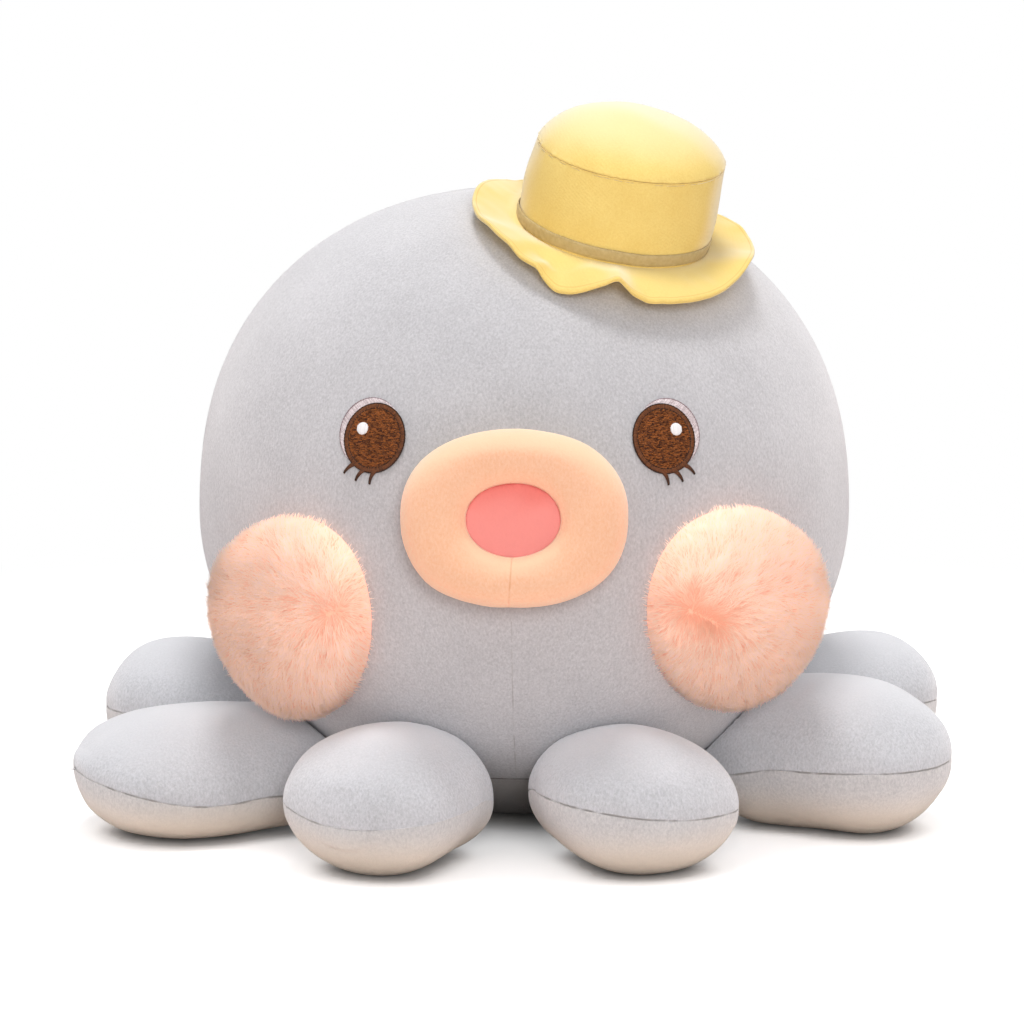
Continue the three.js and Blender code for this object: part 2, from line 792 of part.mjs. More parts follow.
// Hat stuffing: fills the crown down to the head.
function addHatStuffing(head) {
  const inset = hatClothThickness + seamGap;
  const fill = between(
    (u, v, layer) => {
      const share = Math.sin((u * Math.PI) / 2);
      const height = layer === 0 ? hatSideHeight - seamGap + domeHeight(share) : -hatSideHeight;
      return hatPoint(v, (hatTopRadius - inset) * share, height);
    },
    4,
    hatColumns,
    true,
  );
  addPiece("hat_stuffing", toGeometry(toSolid(fill).subtract(head)), polyesterFill);
}

addFrontPanel();
addBackPanels();
addBasePanel();
addBodyStuffing();
const headCutter = ballCutter(2 * seamGap);
armPlaces.forEach(addArm);
addMuzzle();
cheekPlaces.forEach(addCheek);
addEye("left", -1);
addEye("right", 1);
addCrown(headCutter);
addBrim(headCutter);
addHatStuffing(headCutter);

export default root;
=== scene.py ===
# Stuffed octopus with a bucket hat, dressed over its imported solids. Metres, +Z up, the face looks
# along -Y. The sections follow the toy as it is sewn: body, arms, muzzle, cheeks, eyes, hat, then
# the floor, lamps and camera that it is photographed with.
import math

import bmesh
import bpy
import numpy as np
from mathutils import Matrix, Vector, kdtree


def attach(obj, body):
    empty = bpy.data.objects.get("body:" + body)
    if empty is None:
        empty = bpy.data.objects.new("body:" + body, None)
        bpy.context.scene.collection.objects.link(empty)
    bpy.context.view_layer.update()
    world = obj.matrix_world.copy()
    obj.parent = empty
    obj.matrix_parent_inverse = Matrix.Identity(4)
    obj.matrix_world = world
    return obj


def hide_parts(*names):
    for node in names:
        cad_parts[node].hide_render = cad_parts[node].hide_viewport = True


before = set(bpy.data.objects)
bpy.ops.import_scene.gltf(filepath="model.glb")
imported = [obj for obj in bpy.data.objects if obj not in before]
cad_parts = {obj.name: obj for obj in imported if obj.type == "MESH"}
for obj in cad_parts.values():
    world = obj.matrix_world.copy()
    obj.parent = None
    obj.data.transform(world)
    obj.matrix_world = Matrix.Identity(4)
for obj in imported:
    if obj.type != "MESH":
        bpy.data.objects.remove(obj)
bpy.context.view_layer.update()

# Body: a round bag of short-pile grey velour, stuffed tight with polyester fill. The front panel is
# one piece with a short dart under the muzzle, two back panels meet down the back, and a round base
# of the same velour closes the bag where it stands.
ball_radius = 0.152
ball_rise = 0.148
ball_fall = 0.147
ball_centre = np.array([0.0, 0.0, 0.143])
upper_roundness = 2.2
lower_roundness = 1.85
base_seam_tilt = math.radians(-51)
dart_top = 0.112
dart_taper = 0.35
velour_thickness = 0.0016
body_roll = 0.0007
# slow unevenness of the stuffed skin, and how deep and wide it sinks along a seam
body_waves = 0.0005
seam_sink = 0.0003
seam_sink_width = 0.004
# steps of the mesh: across the panels, and closer and closer towards their seams
body_step = 0.0045
edge_steps = np.array([0, 0.12, 0.28, 0.5, 0.78, 1.15, 1.8, 3, 5]) * 0.001


def ball_surface(direction, lift=0.0):
    """Point of the ball in a direction from its middle, grown by lift: the direction times
    (level^n + upright^n)^(-1/n), where level and upright are its shares of the ball's own radius
    and rise, and n turns smoothly from its lower to its upper value round the middle."""
    upright = direction[..., 2]
    middle = (upper_roundness + lower_roundness) / 2
    power = middle + (upper_roundness - middle) * np.tanh(7 * upright)
    rise = np.where(upright < 0, ball_fall, ball_rise) + lift
    level = np.hypot(direction[..., 0], direction[..., 1]) / (ball_radius + lift)
    reach = (level**power + (np.abs(upright) / rise) ** power) ** (-1 / power)
    return direction * reach[..., None] + ball_centre


def spot_on_ball(turn_degrees, tilt_degrees):
    """Map of a flat sheet laid on the ball round a spot: a place x to the right and y up goes as
    far round the ball as it is from the spot, in the same direction, and stands lift off it."""
    turn, tilt = math.radians(turn_degrees), math.radians(tilt_degrees)
    level = np.array([math.sin(turn), -math.cos(turn), 0.0])
    right = np.array([math.cos(turn), math.sin(turn), 0.0])
    out = level * math.cos(tilt) + np.array([0, 0, math.sin(tilt)])
    up = np.cross(level, right) * math.cos(tilt) - level * math.sin(tilt)

    def place(x, y, lift):
        away = np.hypot(x, y)
        angle = (away / ball_radius)[..., None]
        aside = (x[..., None] * right + y[..., None] * up) / np.maximum(away, 1e-9)[..., None]
        return ball_surface(np.cos(angle) * out + np.sin(angle) * aside, lift)

    return place


def length(vectors):
    """Lengths of vectors, as a last axis of one."""
    return np.linalg.norm(vectors, axis=-1, keepdims=True)


def round_grid(rows, count):
    """Grid of rows by evenly spaced angles of a full turn."""
    return np.meshgrid(rows, np.linspace(0, 2 * math.pi, count, endpoint=False), indexing="ij")


def graded(low, high, step, fine_low=True, fine_high=True):
    """Places from low to high that lie a step apart, and closer and closer towards a sewn end."""
    start = low + edge_steps if fine_low else np.array([low])
    end = high - edge_steps[::-1] if fine_high else np.array([high])
    count = max(int(round((end[0] - start[-1]) / step)), 1)
    return np.concatenate([start, np.linspace(start[-1], end[0], count + 1)[1:-1], end])


def bell(distance, width):
    """Bell curve: 1 at no distance, 1/e at its width."""
    return np.exp(-((distance / width) ** 2))


def rolled_in(distance, radius):
    """Depth of a cloth that rolls into its seam: r - sqrt(r^2 - (r - d)^2) within r of the seam."""
    inside = np.clip(radius - distance, 0, radius)
    return radius - np.sqrt(radius**2 - inside**2)


def ripple(seed, *places):
    """Slow irregular wave, mostly from -1 to 1, over one or more coordinates in wavelengths: a
    fifth of the sum of nine sines, each in a direction and at a phase drawn once from the seed."""
    rng = np.random.default_rng(seed)
    total = 0
    for _ in range(9):
        way = rng.normal(size=len(places))
        way *= rng.uniform(0.6, 1.5) / np.linalg.norm(way)
        cycles = sum(share * place for share, place in zip(way, places)) + rng.random()
        total = total + np.sin(2 * math.pi * cycles)
    return total / 5


def grid_normals(points, looped=False):
    """Unit normals of a grid of points, away from its middle: the cross product of its two steps. A
    row that is one single point takes the mean of the row beside it."""
    wide = np.concatenate([points[:, -2:-1], points, points[:, 1:2]], 1) if looped else points
    normals = np.cross(np.gradient(wide, axis=0), np.gradient(wide, axis=1))
    if looped:
        normals = normals[:, 1:-1]
    for row, beside in ((0, 1), (-1, -2)):
        if np.ptp(points[row], axis=0).max() < 1e-7:
            normals[row] = normals[beside].mean(0)
    normals = normals / np.maximum(length(normals), 1e-12)
    return normals if (normals * (points - points.mean((0, 1)))).sum() > 0 else -normals


def closed_faces(rows, columns, looped):
    """Faces of an outer grid of points and an inner one numbered after it, joined at the edges."""
    first = np.arange(rows * columns).reshape(rows, columns)
    if looped:
        first = np.concatenate([first, first[:, :1]], 1)
    second = first + rows * columns

    def quads(a, b, c, d):
        return np.stack([a, b, c, d], -1).reshape(-1, 4)

    faces = [
        quads(first[:-1, :-1], first[1:, :-1], first[1:, 1:], first[:-1, 1:]),
        quads(second[:-1, :-1], second[:-1, 1:], second[1:, 1:], second[1:, :-1]),
        quads(first[0, :-1], first[0, 1:], second[0, 1:], second[0, :-1]),
        quads(first[-1, 1:], first[-1, :-1], second[-1, :-1], second[-1, 1:]),
    ]
    if not looped:
        faces.append(quads(first[1:, 0], first[:-1, 0], second[:-1, 0], second[1:, 0]))
        faces.append(quads(first[:-1, -1], first[1:, -1], second[1:, -1], second[:-1, -1]))
    return np.concatenate(faces)


def closed_mesh(name, outer, inner, facts, looped=False):
    """Closed piece between an outer and an inner grid of points. Facts are numbers per point of the
    grid, such as its distance from a seam."""
    places = np.concatenate([outer.reshape(-1, 3), inner.reshape(-1, 3)])
    return mesh_piece(name, places, closed_faces(*outer.shape[:2], looped), facts, weld=2e-6)


def mesh_piece(name, places, faces, facts, weld=None):
    """Object at the origin with these points, faces and facts per point, smooth shaded. Points that
    lie nearer than weld are joined, and the faces then point outwards. Its upward fact is the
    upright share of its surface's normal."""
    mesh = bpy.data.meshes.new(name)
    mesh.from_pydata(places.tolist(), [], faces if isinstance(faces, list) else faces.tolist())
    for fact, values in facts.items():
        values = np.asarray(values, np.float32).ravel()
        values = np.tile(values, len(places) // len(values))
        mesh.attributes.new(fact, "FLOAT", "POINT").data.foreach_set("value", values)
    if weld:
        work = bmesh.new()
        work.from_mesh(mesh)
        bmesh.ops.remove_doubles(work, verts=work.verts, dist=weld)
        bmesh.ops.recalc_face_normals(work, faces=work.faces)
        work.to_mesh(mesh)
        work.free()
    mesh.shade_smooth()
    normals = read_vectors(mesh.vertex_normals, "vector")
    upward = mesh.attributes.new("upward", "FLOAT", "POINT")
    upward.data.foreach_set("value", normals[:, 2].astype(np.float32))
    piece = bpy.data.objects.new(name, mesh)
    bpy.context.scene.collection.objects.link(piece)
    return piece


def read_vectors(items, field):
    """One vector per item of a mesh, such as its points' places."""
    values = np.zeros(len(items) * 3, np.float32)
    items.foreach_get(field, values)
    return values.reshape(-1, 3)


def linear(hex_colour):
    """The linear colour of an sRGB hex value."""
    shares = [int(hex_colour[i : i + 2], 16) / 255 for i in (1, 3, 5)]
    return [s / 12.92 if s <= 0.04045 else ((s + 0.055) / 1.055) ** 2.4 for s in shares] + [1.0]


class Look:
    """Nodes of one material, or of a world. What an input is fed is a number, a hex colour, or the
    output of another node."""

    def __init__(self, name, kind="materials"):
        self.owner = getattr(bpy.data, kind).new(name)
        self.owner.use_nodes = True
        self.owner.node_tree.nodes.clear()

    def add(self, kind, feeds=(), **settings):
        """One node: settings are its own fields, feeds its inputs."""
        node = self.owner.node_tree.nodes.new("ShaderNode" + kind)
        for field, value in settings.items():
            setattr(node, field, value)
        for socket, value in dict(feeds).items():
            if isinstance(value, bpy.types.NodeSocket):
                self.owner.node_tree.links.new(value, node.inputs[socket])
            else:
                colour = isinstance(value, str)
                node.inputs[socket].default_value = linear(value) if colour else value
        return node

    def place(self):
        """Where a point of the piece is, in metres."""
        return self.add("TexCoord").outputs["Object"]

    def fact(self, name):
        """A number that the mesh carries at each of its points."""
        return self.add("Attribute", attribute_name=name).outputs["Fac"]

    def noise(self, place, scale, detail, roughness=0.5):
        """Soft noise from about 0.3 to 0.7, with this many waves in a metre."""
        feeds = {"Vector": place, "Scale": scale, "Detail": detail, "Roughness": roughness}
        return self.add("TexNoise", feeds).outputs["Fac"]

    def work_out(self, operation, *values):
        """Sum, product or another operation on up to three numbers."""
        return self.add("Math", enumerate(values), operation=operation).outputs[0]

    def fade(self, value, start, end, low=0.0, high=1.0, smooth=True):
        """From low to high while a value goes from start to end, by a smooth step or straight."""
        feeds = {"Value": value, "From Min": start, "From Max": end, "To Min": low, "To Max": high}
        line = "SMOOTHSTEP" if smooth else "LINEAR"
        return self.add("MapRange", feeds, interpolation_type=line).outputs["Result"]

    def blend(self, share, first, second):
        """Colour that goes from the first to the second as a share goes from 0 to 1."""
        feeds = {"Factor": share, 6: first, 7: second}
        return self.add("Mix", feeds, data_type="RGBA").outputs[2]

    def bump(self, height, distance, strength):
        """Surface direction over a relief this deep."""
        feeds = {"Height": height, "Distance": distance, "Strength": strength}
        return self.add("Bump", feeds).outputs["Normal"]

    def cloth(self, **sockets):
        """Ends the material in a cloth shader that is fed these sockets."""
        feeds = {socket.replace("_", " "): value for socket, value in sockets.items()}
        shader = self.add("BsdfPrincipled", feeds)
        self.add("OutputMaterial", {"Surface": shader.outputs["BSDF"]})
        return self.owner


def velour(name, seam_shade, parted, standing, painted_floor_lighting=None, rim=0.6, lit=None, lit_from=0.2,
           floor_rise=0.029):
    """Knitted velour: a 1.5 mm pile of fine polyester that parts into soft flecks a millimetre or
    two long, darker where it leans away, and darker still where it dives into a seam, a painted
    seam shade. It is paler by the rim share where it is seen from the side, a painted sheen. Where
    it faces up it may take a lit colour, a painted top light, and from floor_rise downwards a
    colour for the painted lighting by the floor: painted shade on the body and its base, painted
    warm bounce light on the arms' lower panels. The real fibres are 0.02 mm thick, so the flecks
    are drawn at 1 mm, the finest that show."""
    look = Look(name)
    place = look.place()
    nap = look.add("Mapping", {"Vector": place, "Scale": (1, 1, 0.62)}).outputs["Vector"]
    flecks = look.noise(nap, 1050, 4, 0.7)
    brushed = look.noise(place, 30, 3, 0.55)
    lean = look.fade(look.work_out("MULTIPLY_ADD", brushed, 0.22, flecks), 0.4, 0.82, smooth=False)
    cloth = look.blend(lean, parted, standing)
    if lit:
        # painted top light where the cloth faces up
        painted_top_light = look.fade(look.fact("upward"), lit_from, lit_from + 0.55, 0, 0.85)
        cloth = look.blend(painted_top_light, cloth, lit)
    # painted lighting near the floor: shade on the body and base, warm bounce light on the arms'
    # lower panels
    if painted_floor_lighting:
        height = look.add("SeparateXYZ", {"Vector": place}).outputs["Z"]
        cloth = look.blend(look.fade(height, floor_rise, 0.003), cloth, painted_floor_lighting)
    near = look.fade(look.fact("seam"), 0.0001, 0.0008, 0.8, 0)
    bared = look.fade(look.noise(place, 110, 2), 0.4, 0.56, 0.08, smooth=False)
    cloth = look.blend(look.work_out("MULTIPLY", near, bared), cloth, seam_shade)
    # painted sheen: paler where the cloth is seen from the side
    facing = look.add("LayerWeight", {"Blend": 0.5}).outputs["Facing"]
    painted_sheen_gain = look.work_out("MULTIPLY_ADD", facing, rim, 1.0)
    painted_sheen_cloth = look.add("VectorMath", {"Vector": cloth, "Scale": painted_sheen_gain}, operation="SCALE")
    return look.cloth(
        Base_Color=painted_sheen_cloth.outputs["Vector"],
        Normal=look.bump(flecks, 0.0007, 0.6),
        Roughness=0.95,
        Sheen_Weight=0.45,
        Sheen_Roughness=0.45,
        Specular_IOR_Level=0.15,
    )


# the seam's shade is the cloth's own colour, in the shade of the pile on both its sides
# below 5 cm the body darkens towards near black, a painted shade of the arms' shadow on it
grey_velour = velour(
    "grey_knitted_velour", "#85807e", "#a6a5a8", "#c5c4c7", "#1e1c1b", rim=0.7, floor_rise=0.05
)


def ball_panel(name, turns, tilts, seam_of):
    """Panel of the ball's skin over a grid of turns and tilts from its middle, with its distance
    from the nearest seam given by seam_of(turn, tilt, point)."""
    tilt, turn = np.meshgrid(tilts, turns, indexing="ij")
    level = np.cos(tilt)
    direction = np.stack([level * np.sin(turn), -level * np.cos(turn), np.sin(tilt)], -1)
    surface = ball_surface(direction)
    seam = seam_of(turn, tilt, surface)
    soft = body_waves * ripple(3, *(2 * share for share in np.moveaxis(direction, -1, 0)))
    soft = soft * np.clip(seam / 0.01, 0, 1)
    hollow = seam_sink * bell(seam, seam_sink_width)
    outer = ball_surface(direction, soft - rolled_in(seam, body_roll) - hollow)
    inner = ball_surface(direction, soft - velour_thickness - body_roll - hollow)
    for grid in (outer, inner):
        grid[..., 2] = np.maximum(grid[..., 2], 0)
    inner[..., 2] = np.maximum(inner[..., 2], velour_thickness)
    return closed_mesh(name, outer, inner, {"seam": seam})


def panel_seam(turn, tilt, point):
    """Distance to the base seam, or to the nearest upright one at the sides and the back."""
    upright = np.min([np.abs(turn - edge * math.pi / 2) for edge in (-2, -1, 1, 2)], axis=0)
    level = np.hypot(point[..., 0], point[..., 1])
    return np.minimum(upright * level, (tilt - base_seam_tilt) * ball_radius)


def front_seam(turn, tilt, point):
    """As the other panels, and to the dart from its top downwards."""
    level = np.hypot(point[..., 0], point[..., 1])
    past_top = np.clip(point[..., 2] - dart_top, 0, None)
    dart = np.hypot(np.abs(turn) * level, past_top * dart_taper) + 0.0003
    return np.minimum(panel_seam(turn, tilt, point), dart)


def base_seam(turn, tilt, point):
    """Distance to the base seam from below."""
    return (base_seam_tilt - tilt) * ball_radius


quarter = math.pi / 2 * ball_radius
base_edge = base_seam_tilt * ball_radius
tilt_rows = graded(base_edge, quarter, body_step, fine_high=False) / ball_radius
left_half = graded(-quarter, 0, body_step)
front_turns = np.concatenate([left_half, -left_half[::-1][1:]]) / ball_radius
back_turns = graded(0, quarter, body_step) / ball_radius
body_front = ball_panel("body_front", front_turns, tilt_rows, front_seam)
body_back_left = ball_panel("body_back_left", back_turns - math.pi, tilt_rows, panel_seam)
body_back_right = ball_panel("body_back_right", back_turns + math.pi / 2, tilt_rows, panel_seam)
base_rows = graded(-quarter, base_edge, body_step, fine_low=False) / ball_radius
body_base = ball_panel("body_base", np.linspace(-math.pi, math.pi, 97), base_rows, base_seam)
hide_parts("body_front_panel", "body_stuffing")
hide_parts("body_back_left_panel")
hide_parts("body_back_right_panel")
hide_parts("body_base_panel")
# the base is drawn darker all over, a painted shade where it lies deep between the arms, and
# darkest where it rests, a painted contact shadow
base_velour = velour("grey_knitted_velour_base", "#5d5855", "#7a7675", "#908c8b", "#2a2725")
for panel in (body_front, body_back_left, body_back_right, body_base):
    panel.data.materials.append(base_velour if panel is body_base else grey_velour)
    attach(panel, "body")

# Arms: eight bulbs of the same velour, each an upper and a lower panel over its own stuffing, sewn
# together round the sides and tip and sewn to the body at the base seam. They lie on the floor.
arm_root = 0.0945
arm_roll = 0.0006
arm_lumps = 0.0007
# puckers along the side seam: height, spacing and reach up and down from it
arm_gather = 0.00035
gather_pitch = 0.0065
gather_reach = 0.0045
arm_sink = 0.00035
arm_sink_width = 0.0035
ball_gap = 0.0006
# each arm: turn, reach, width, height, rise of its seam on its anticlockwise side and at its tip
arm_places = [
    ("front_left", -23.2, 0.1848, 0.0855, 0.0621, -0.02, -0.12),
    ("front_right", 22.8, 0.17745, 0.08955, 0.0614, -0.07, -0.06),
    ("side_left", -67.5, 0.21735, 0.0936, 0.0562, -0.1, 0.04),
    ("side_right", 72.9, 0.2058, 0.0891, 0.0699, 0.03, -0.04),
    ("back_left", -106, 0.2121, 0.09, 0.067, 0.03, 0.0),
    ("back_right", 115.2, 0.21735, 0.0882, 0.0672, -0.06, -0.02),
    ("rear_left", -156, 0.2058, 0.09, 0.065, 0.0, 0.0),
    ("rear_right", 158, 0.2058, 0.09, 0.065, 0.0, 0.0),
]
# from root to tip: share along, width, seam height, top, bottom, and the top of the two back arms
arm_stations = np.array(
    [
        [0, 0.6, 0.38, 0.62, 0.24, 0.5], [0.07, 0.72, 0.39, 0.78, 0.1, 0.62],
        [0.18, 0.88, 0.44, 0.93, 0.025, 0.8], [0.34, 0.95, 0.5, 0.985, -0.004, 0.92],
        [0.52, 1, 0.515, 1, -0.008, 0.995], [0.7, 0.965, 0.53, 0.97, -0.008, 1.02],
        [0.84, 0.84, 0.54, 0.855, 0.065, 0.97], [0.95, 0.46, 0.53, 0.71, 0.24, 0.79],
        [1, 0, 0.53, 0.53, 0.53, 0.53],
    ]
)
# dip of the seam on the left side arm's near side, in shares of its height and length
near_dip = 0.075
dip_at = 0.62
dip_width = 0.24
# share of the half width outwards from which the cheek's pile hides the front left arm's seam
pile_over = 0.28
# the upper panels take a lit colour where they face up, a painted top light; the lower panel is the
# same cloth, with a painted warm bounce light off the floor near it
arm_velour = velour(
    "grey_knitted_velour_arm", "#8a8684", "#b0b2b6", "#d2d3d8", lit="#c7c8cc", lit_from=0.5
)
# painted warm bounce light off the floor, from floor_rise down
floor_velour = velour("grey_knitted_velour_lower", "#8a8684", "#b3b2b4", "#d4d2d2", "#e0d3c2")


def smooth_through(places, values, at):
    """Smooth curve through a table: the cubic between two places whose slopes there are those of
    the chord from the place before to the place after."""
    slope = np.gradient(values, places)
    low = np.clip(np.searchsorted(places, at, side="right") - 1, 0, len(places) - 2)
    width = places[low + 1] - places[low]
    t = (at - places[low]) / width
    return (
        values[low] * (1 + 2 * t) * (1 - t) ** 2
        + slope[low] * width * t * (1 - t) ** 2
        + values[low + 1] * t * t * (3 - 2 * t)
        + slope[low + 1] * width * t * t * (t - 1)
    )


def arm_form(name, q, around, sizes, seed):
    """Arm along +X, at a distance q^2 back from its tip as a share of its length, and at an angle
    round it that is 0 at one seam and a quarter turn at the top: half ellipses above and below the
    seam. The seam's height follows the table, and rises on one side by its roll and at the tip by
    its own share."""
    reach, wide, tall, roll, tip_rise = sizes
    back = np.sqrt(1 - arm_stations[::-1, 0])
    columns = (1, 2, 5 if "back" in name else 3, 4)
    width, seam, top, bottom = (smooth_through(back, arm_stations[::-1, k], q) for k in columns)
    along = 1 - q**2
    level = seam + tip_rise * along**3
    ends = np.clip(q / 0.22, 0, 1) ** 2
    lifted = tip_rise * (1 - ends)
    above = np.maximum(top + lifted - level, 0)
    below = np.maximum(level - bottom - lifted, 0)
    depth = np.where(np.sin(around) > 0, above, below) * tall
    side = np.cos(around)
    seam_height = level * tall + roll * tall * width * np.sign(side) * side**2
    if "side_left" in name:
        dip = bell(along - dip_at, dip_width) * np.clip(side, 0, 1) ** 2
        seam_height -= near_dip * tall * dip
    x = arm_root + (reach - arm_root) * along
    y = width / 2 * wide * side
    z = seam_height + depth * np.sin(around)
    points = np.stack([x, y, z], -1)
    lumps = arm_lumps * ripple(seed, x / 0.06, y / 0.05, z / 0.05)
    return points, np.abs(depth * np.sin(around)), lumps


def off_the_ball(points, lift):
    """Moves points that lie within lift of the ball out to it, straight away from its middle."""
    away = points - ball_centre
    distance = length(away)
    skin = ball_surface(away / distance, lift) - ball_centre
    return np.where(distance < length(skin), skin + ball_centre, points)


def arm_panel(name, turn, sizes, upper, seed):
    """One panel of an arm, as a closed skin: it rolls into the side seam, with small puckers where
    the seam gathers it, lies flat on the floor, and gives way to the ball."""
    half = graded(0, math.pi * 0.045, 0.003) / 0.045
    q, around = np.meshgrid(np.linspace(1, 0, 64), half if upper else half + math.pi, indexing="ij")
    points, seam, lumps = arm_form(name, q, around, sizes, seed)
    run = np.where(np.cos(around) > 0, 1.0, -1.0) * (points[..., 0] + 0.4 * (1 - q) * sizes[1])
    phase = 2 * math.pi * run / gather_pitch + 3 * ripple(seed + 9, run / 0.02)
    gather = arm_gather * (0.5 + 0.5 * ripple(seed + 7, run / 0.03)) * np.cos(phase)
    pucker = gather * np.exp(-seam / gather_reach)
    hollow = arm_sink * bell(seam, arm_sink_width)
    normals = grid_normals(points)
    over = pile_over if "front_left" in name else 2
    hidden = np.clip((points[..., 1] / (sizes[1] / 2) - over) / 0.2, 0, 1)
    drawn_in = (hollow + rolled_in(seam, arm_roll)) * (1 - 0.8 * hidden)
    push = lumps * np.clip(seam / 0.01, 0, 1) + pucker - drawn_in
    outer = points + normals * push[..., None]
    inner = points - normals * (velour_thickness + arm_roll)
    outer[..., 2] = np.maximum(outer[..., 2], 0)
    inner[..., 2] = np.maximum(inner[..., 2], velour_thickness)
    cosine, sine = math.cos(math.radians(turn - 90)), math.sin(math.radians(turn - 90))
    spin = np.array([[cosine, sine, 0], [-sine, cosine, 0], [0, 0, 1]])
    outer = off_the_ball(outer @ spin, ball_gap)
    inner = off_the_ball(inner @ spin, ball_gap + velour_thickness)
    return closed_mesh(name, outer, inner, {"seam": seam + 0.001 * hidden})


for seed, (arm, turn, *sizes) in enumerate(arm_places, 20):
    top = arm_panel(f"arm_{arm}_top", turn, sizes, True, seed)
    top.data.materials.append(arm_velour)
    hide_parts(f"arm_{arm}_top_panel", f"arm_{arm}_stuffing")
    bottom = arm_panel(f"arm_{arm}_bottom", turn, sizes, False, seed)
    bottom.data.materials.append(floor_velour)
    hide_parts(f"arm_{arm}_bottom_panel")
    for panel in (top, bottom):
        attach(panel, f"arm_{arm}")

# Muzzle: a ring of smooth peach velour, stuffed and sewn to the face round a sunk coral mouth. One
# short seam closes the ring under the mouth.
muzzle_half_width = 0.046
muzzle_half_height = 0.0358
muzzle_rise = 0.024
muzzle_squareness = 2.35
mouth_squareness = 2.1
mouth_share = 0.408
mouth_lift = 0.0124
muzzle_roll = 0.0003
# unevenness of its skin, puckers of it at the mouth, and how deep its bottom seam sinks
muzzle_waves, muzzle_gather, muzzle_sink = 0.0004, 0.0001, 0.0002
# mean of the two half widths, by which angles round the ring are turned into lengths
muzzle_mean = 0.0415
# section from the outer seam inwards: share of the way out, share of the rise
muzzle_section = np.array(
    [
        [1, 0], [1.0, 0.36], [0.95, 0.7], [0.84, 0.92],
        [0.72, 1], [0.58, 0.96], [0.46, 0.84], [0.395, 0.66],
    ]
)
muzzle_place = spot_on_ball(0.6, 5.8)
# the muzzle takes a paler lit colour where it faces up, a painted top light
peach_velour = velour(
    "peach_knitted_velour", "#d98a5c", "#efb691", "#f5c7a8", rim=0.35, lit="#ebceac", lit_from=0.12
)
# the mouth's own colours are drawn in a painted shade, and its lit colour, a painted light, comes
# in the more the dish faces up, so the top of the dish stays dark
mouth_velour = velour(
    "coral_knitted_velour", "#cf4f45", "#dd584e", "#e7675c", rim=0.2, lit="#fa9f98", lit_from=-0.45
)


def squared_oval(angle, share):
    """Outline at a share of the way out: a superellipse of the muzzle's half width and half height,
    a little rounder at the mouth."""
    power = 2 / np.interp(share, [0.4, 1], [mouth_squareness, muzzle_squareness])
    x = muzzle_half_width * share * np.sign(np.cos(angle)) * np.abs(np.cos(angle)) ** power
    y = muzzle_half_height * share * np.sign(np.sin(angle)) * np.abs(np.sin(angle)) ** power
    return x, y


def muzzle_ring():
    """Skin of the ring: its section runs from the outer seam over the crest and down into the
    mouth, carried round the squared oval from one side of the bottom seam to the other."""
    steps = np.diff(muzzle_section * [muzzle_mean, 0.026], axis=0)
    run = np.cumsum(np.r_[0, np.hypot(*steps.T)])
    at = np.linspace(0, run[-1], 34)
    out = smooth_through(run, muzzle_section[:, 0], at)
    rise = smooth_through(run, muzzle_section[:, 1], at) * muzzle_rise
    sweep = graded(0, 2 * math.pi * muzzle_mean, 0.0036) / muzzle_mean
    out, angle = np.meshgrid(out, sweep - math.pi / 2 - 0.027, indexing="ij")
    rise = np.repeat(rise[:, None], len(sweep), 1)
    x, y = squared_oval(angle, out)
    points = muzzle_place(x, y, rise + 0.0004)
    normals = grid_normals(points)
    from_seam = np.minimum(sweep, 2 * math.pi - sweep)[None, :] * muzzle_mean
    seam = from_seam * np.maximum(out, 0.4) + 0.00035
    side_line = 0.0011 + at[:, None] + 0 * seam
    inner_line = 0.0003 + 0.6 * (run[-1] - at[:, None]) + 0 * seam
    near = np.min([seam, side_line, inner_line], axis=0)
    soft = muzzle_waves * ripple(51, *(points[..., axis] / 0.03 for axis in range(3)))
    puckers = ripple(52, points[..., 0] / 0.024, points[..., 2] / 0.0045)
    soft += muzzle_gather * puckers * np.clip(rise / 0.02, 0, 1)
    hollow = muzzle_sink * bell(seam, 0.003)
    outer = points + normals * (soft - rolled_in(seam, muzzle_roll) - hollow)[..., None]
    inner = points - normals * (velour_thickness + muzzle_roll)
    return closed_mesh("muzzle", outer, inner, {"seam": near})


def mouth_dish():
    """Patch of the mouth: a dish tucked under the ring's inner edge. Its height is its middle's and
    the square of the share of the way out. Its top edge is painted in the ring's shade: its seam
    fact fades slowest there, so the seam's painted shade reaches furthest in."""
    share, angle = round_grid(np.linspace(0, 1, 30), 72)
    x, y = squared_oval(angle, mouth_share * share)
    lift = mouth_lift + 0.003 * share**2 + 0.0002 * ripple(5, x / 0.02, y / 0.02)
    outer = muzzle_place(x, y, lift)
    inner = muzzle_place(x, y, lift - velour_thickness)
    fade = 0.0035 + 0.011 * (1 - np.sin(angle)) / 2
    return closed_mesh("mouth", outer, inner, {"seam": 0.00025 + (1 - share) * fade}, looped=True)


muzzle = muzzle_ring()
muzzle.data.materials.append(peach_velour)
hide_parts("muzzle_ring", "muzzle_stuffing")
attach(muzzle, "body")
mouth = mouth_dish()
mouth.data.materials.append(mouth_velour)
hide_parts("mouth_patch")
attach(mouth, "body")

# Cheeks: round pads under long soft pile, like trimmed faux rabbit fur, sewn flat to the face. The
# pile is combed out from a whorl and lies over the pad, so only its top few millimetres show.
cheek_half_width = 0.0445
cheek_half_height = 0.056
cheek_rise = 0.024
cheek_roundness = 2.6
pile_rise = 0.0026
pile_rim = 0.0022
pile_count = 24000
pile_length = 0.0086
pile_thickness = (0.00013, 0.00022)
# how much longer or shorter whole locks are, and how far from the parting the pile lies flat
lock_growth = 0.0007
flat_from = 0.012
# lean of a strand's root and tip from upright, in degrees: at the parting, and more beyond it
root_lean = (34, 20)
tip_lean = (70, 19)
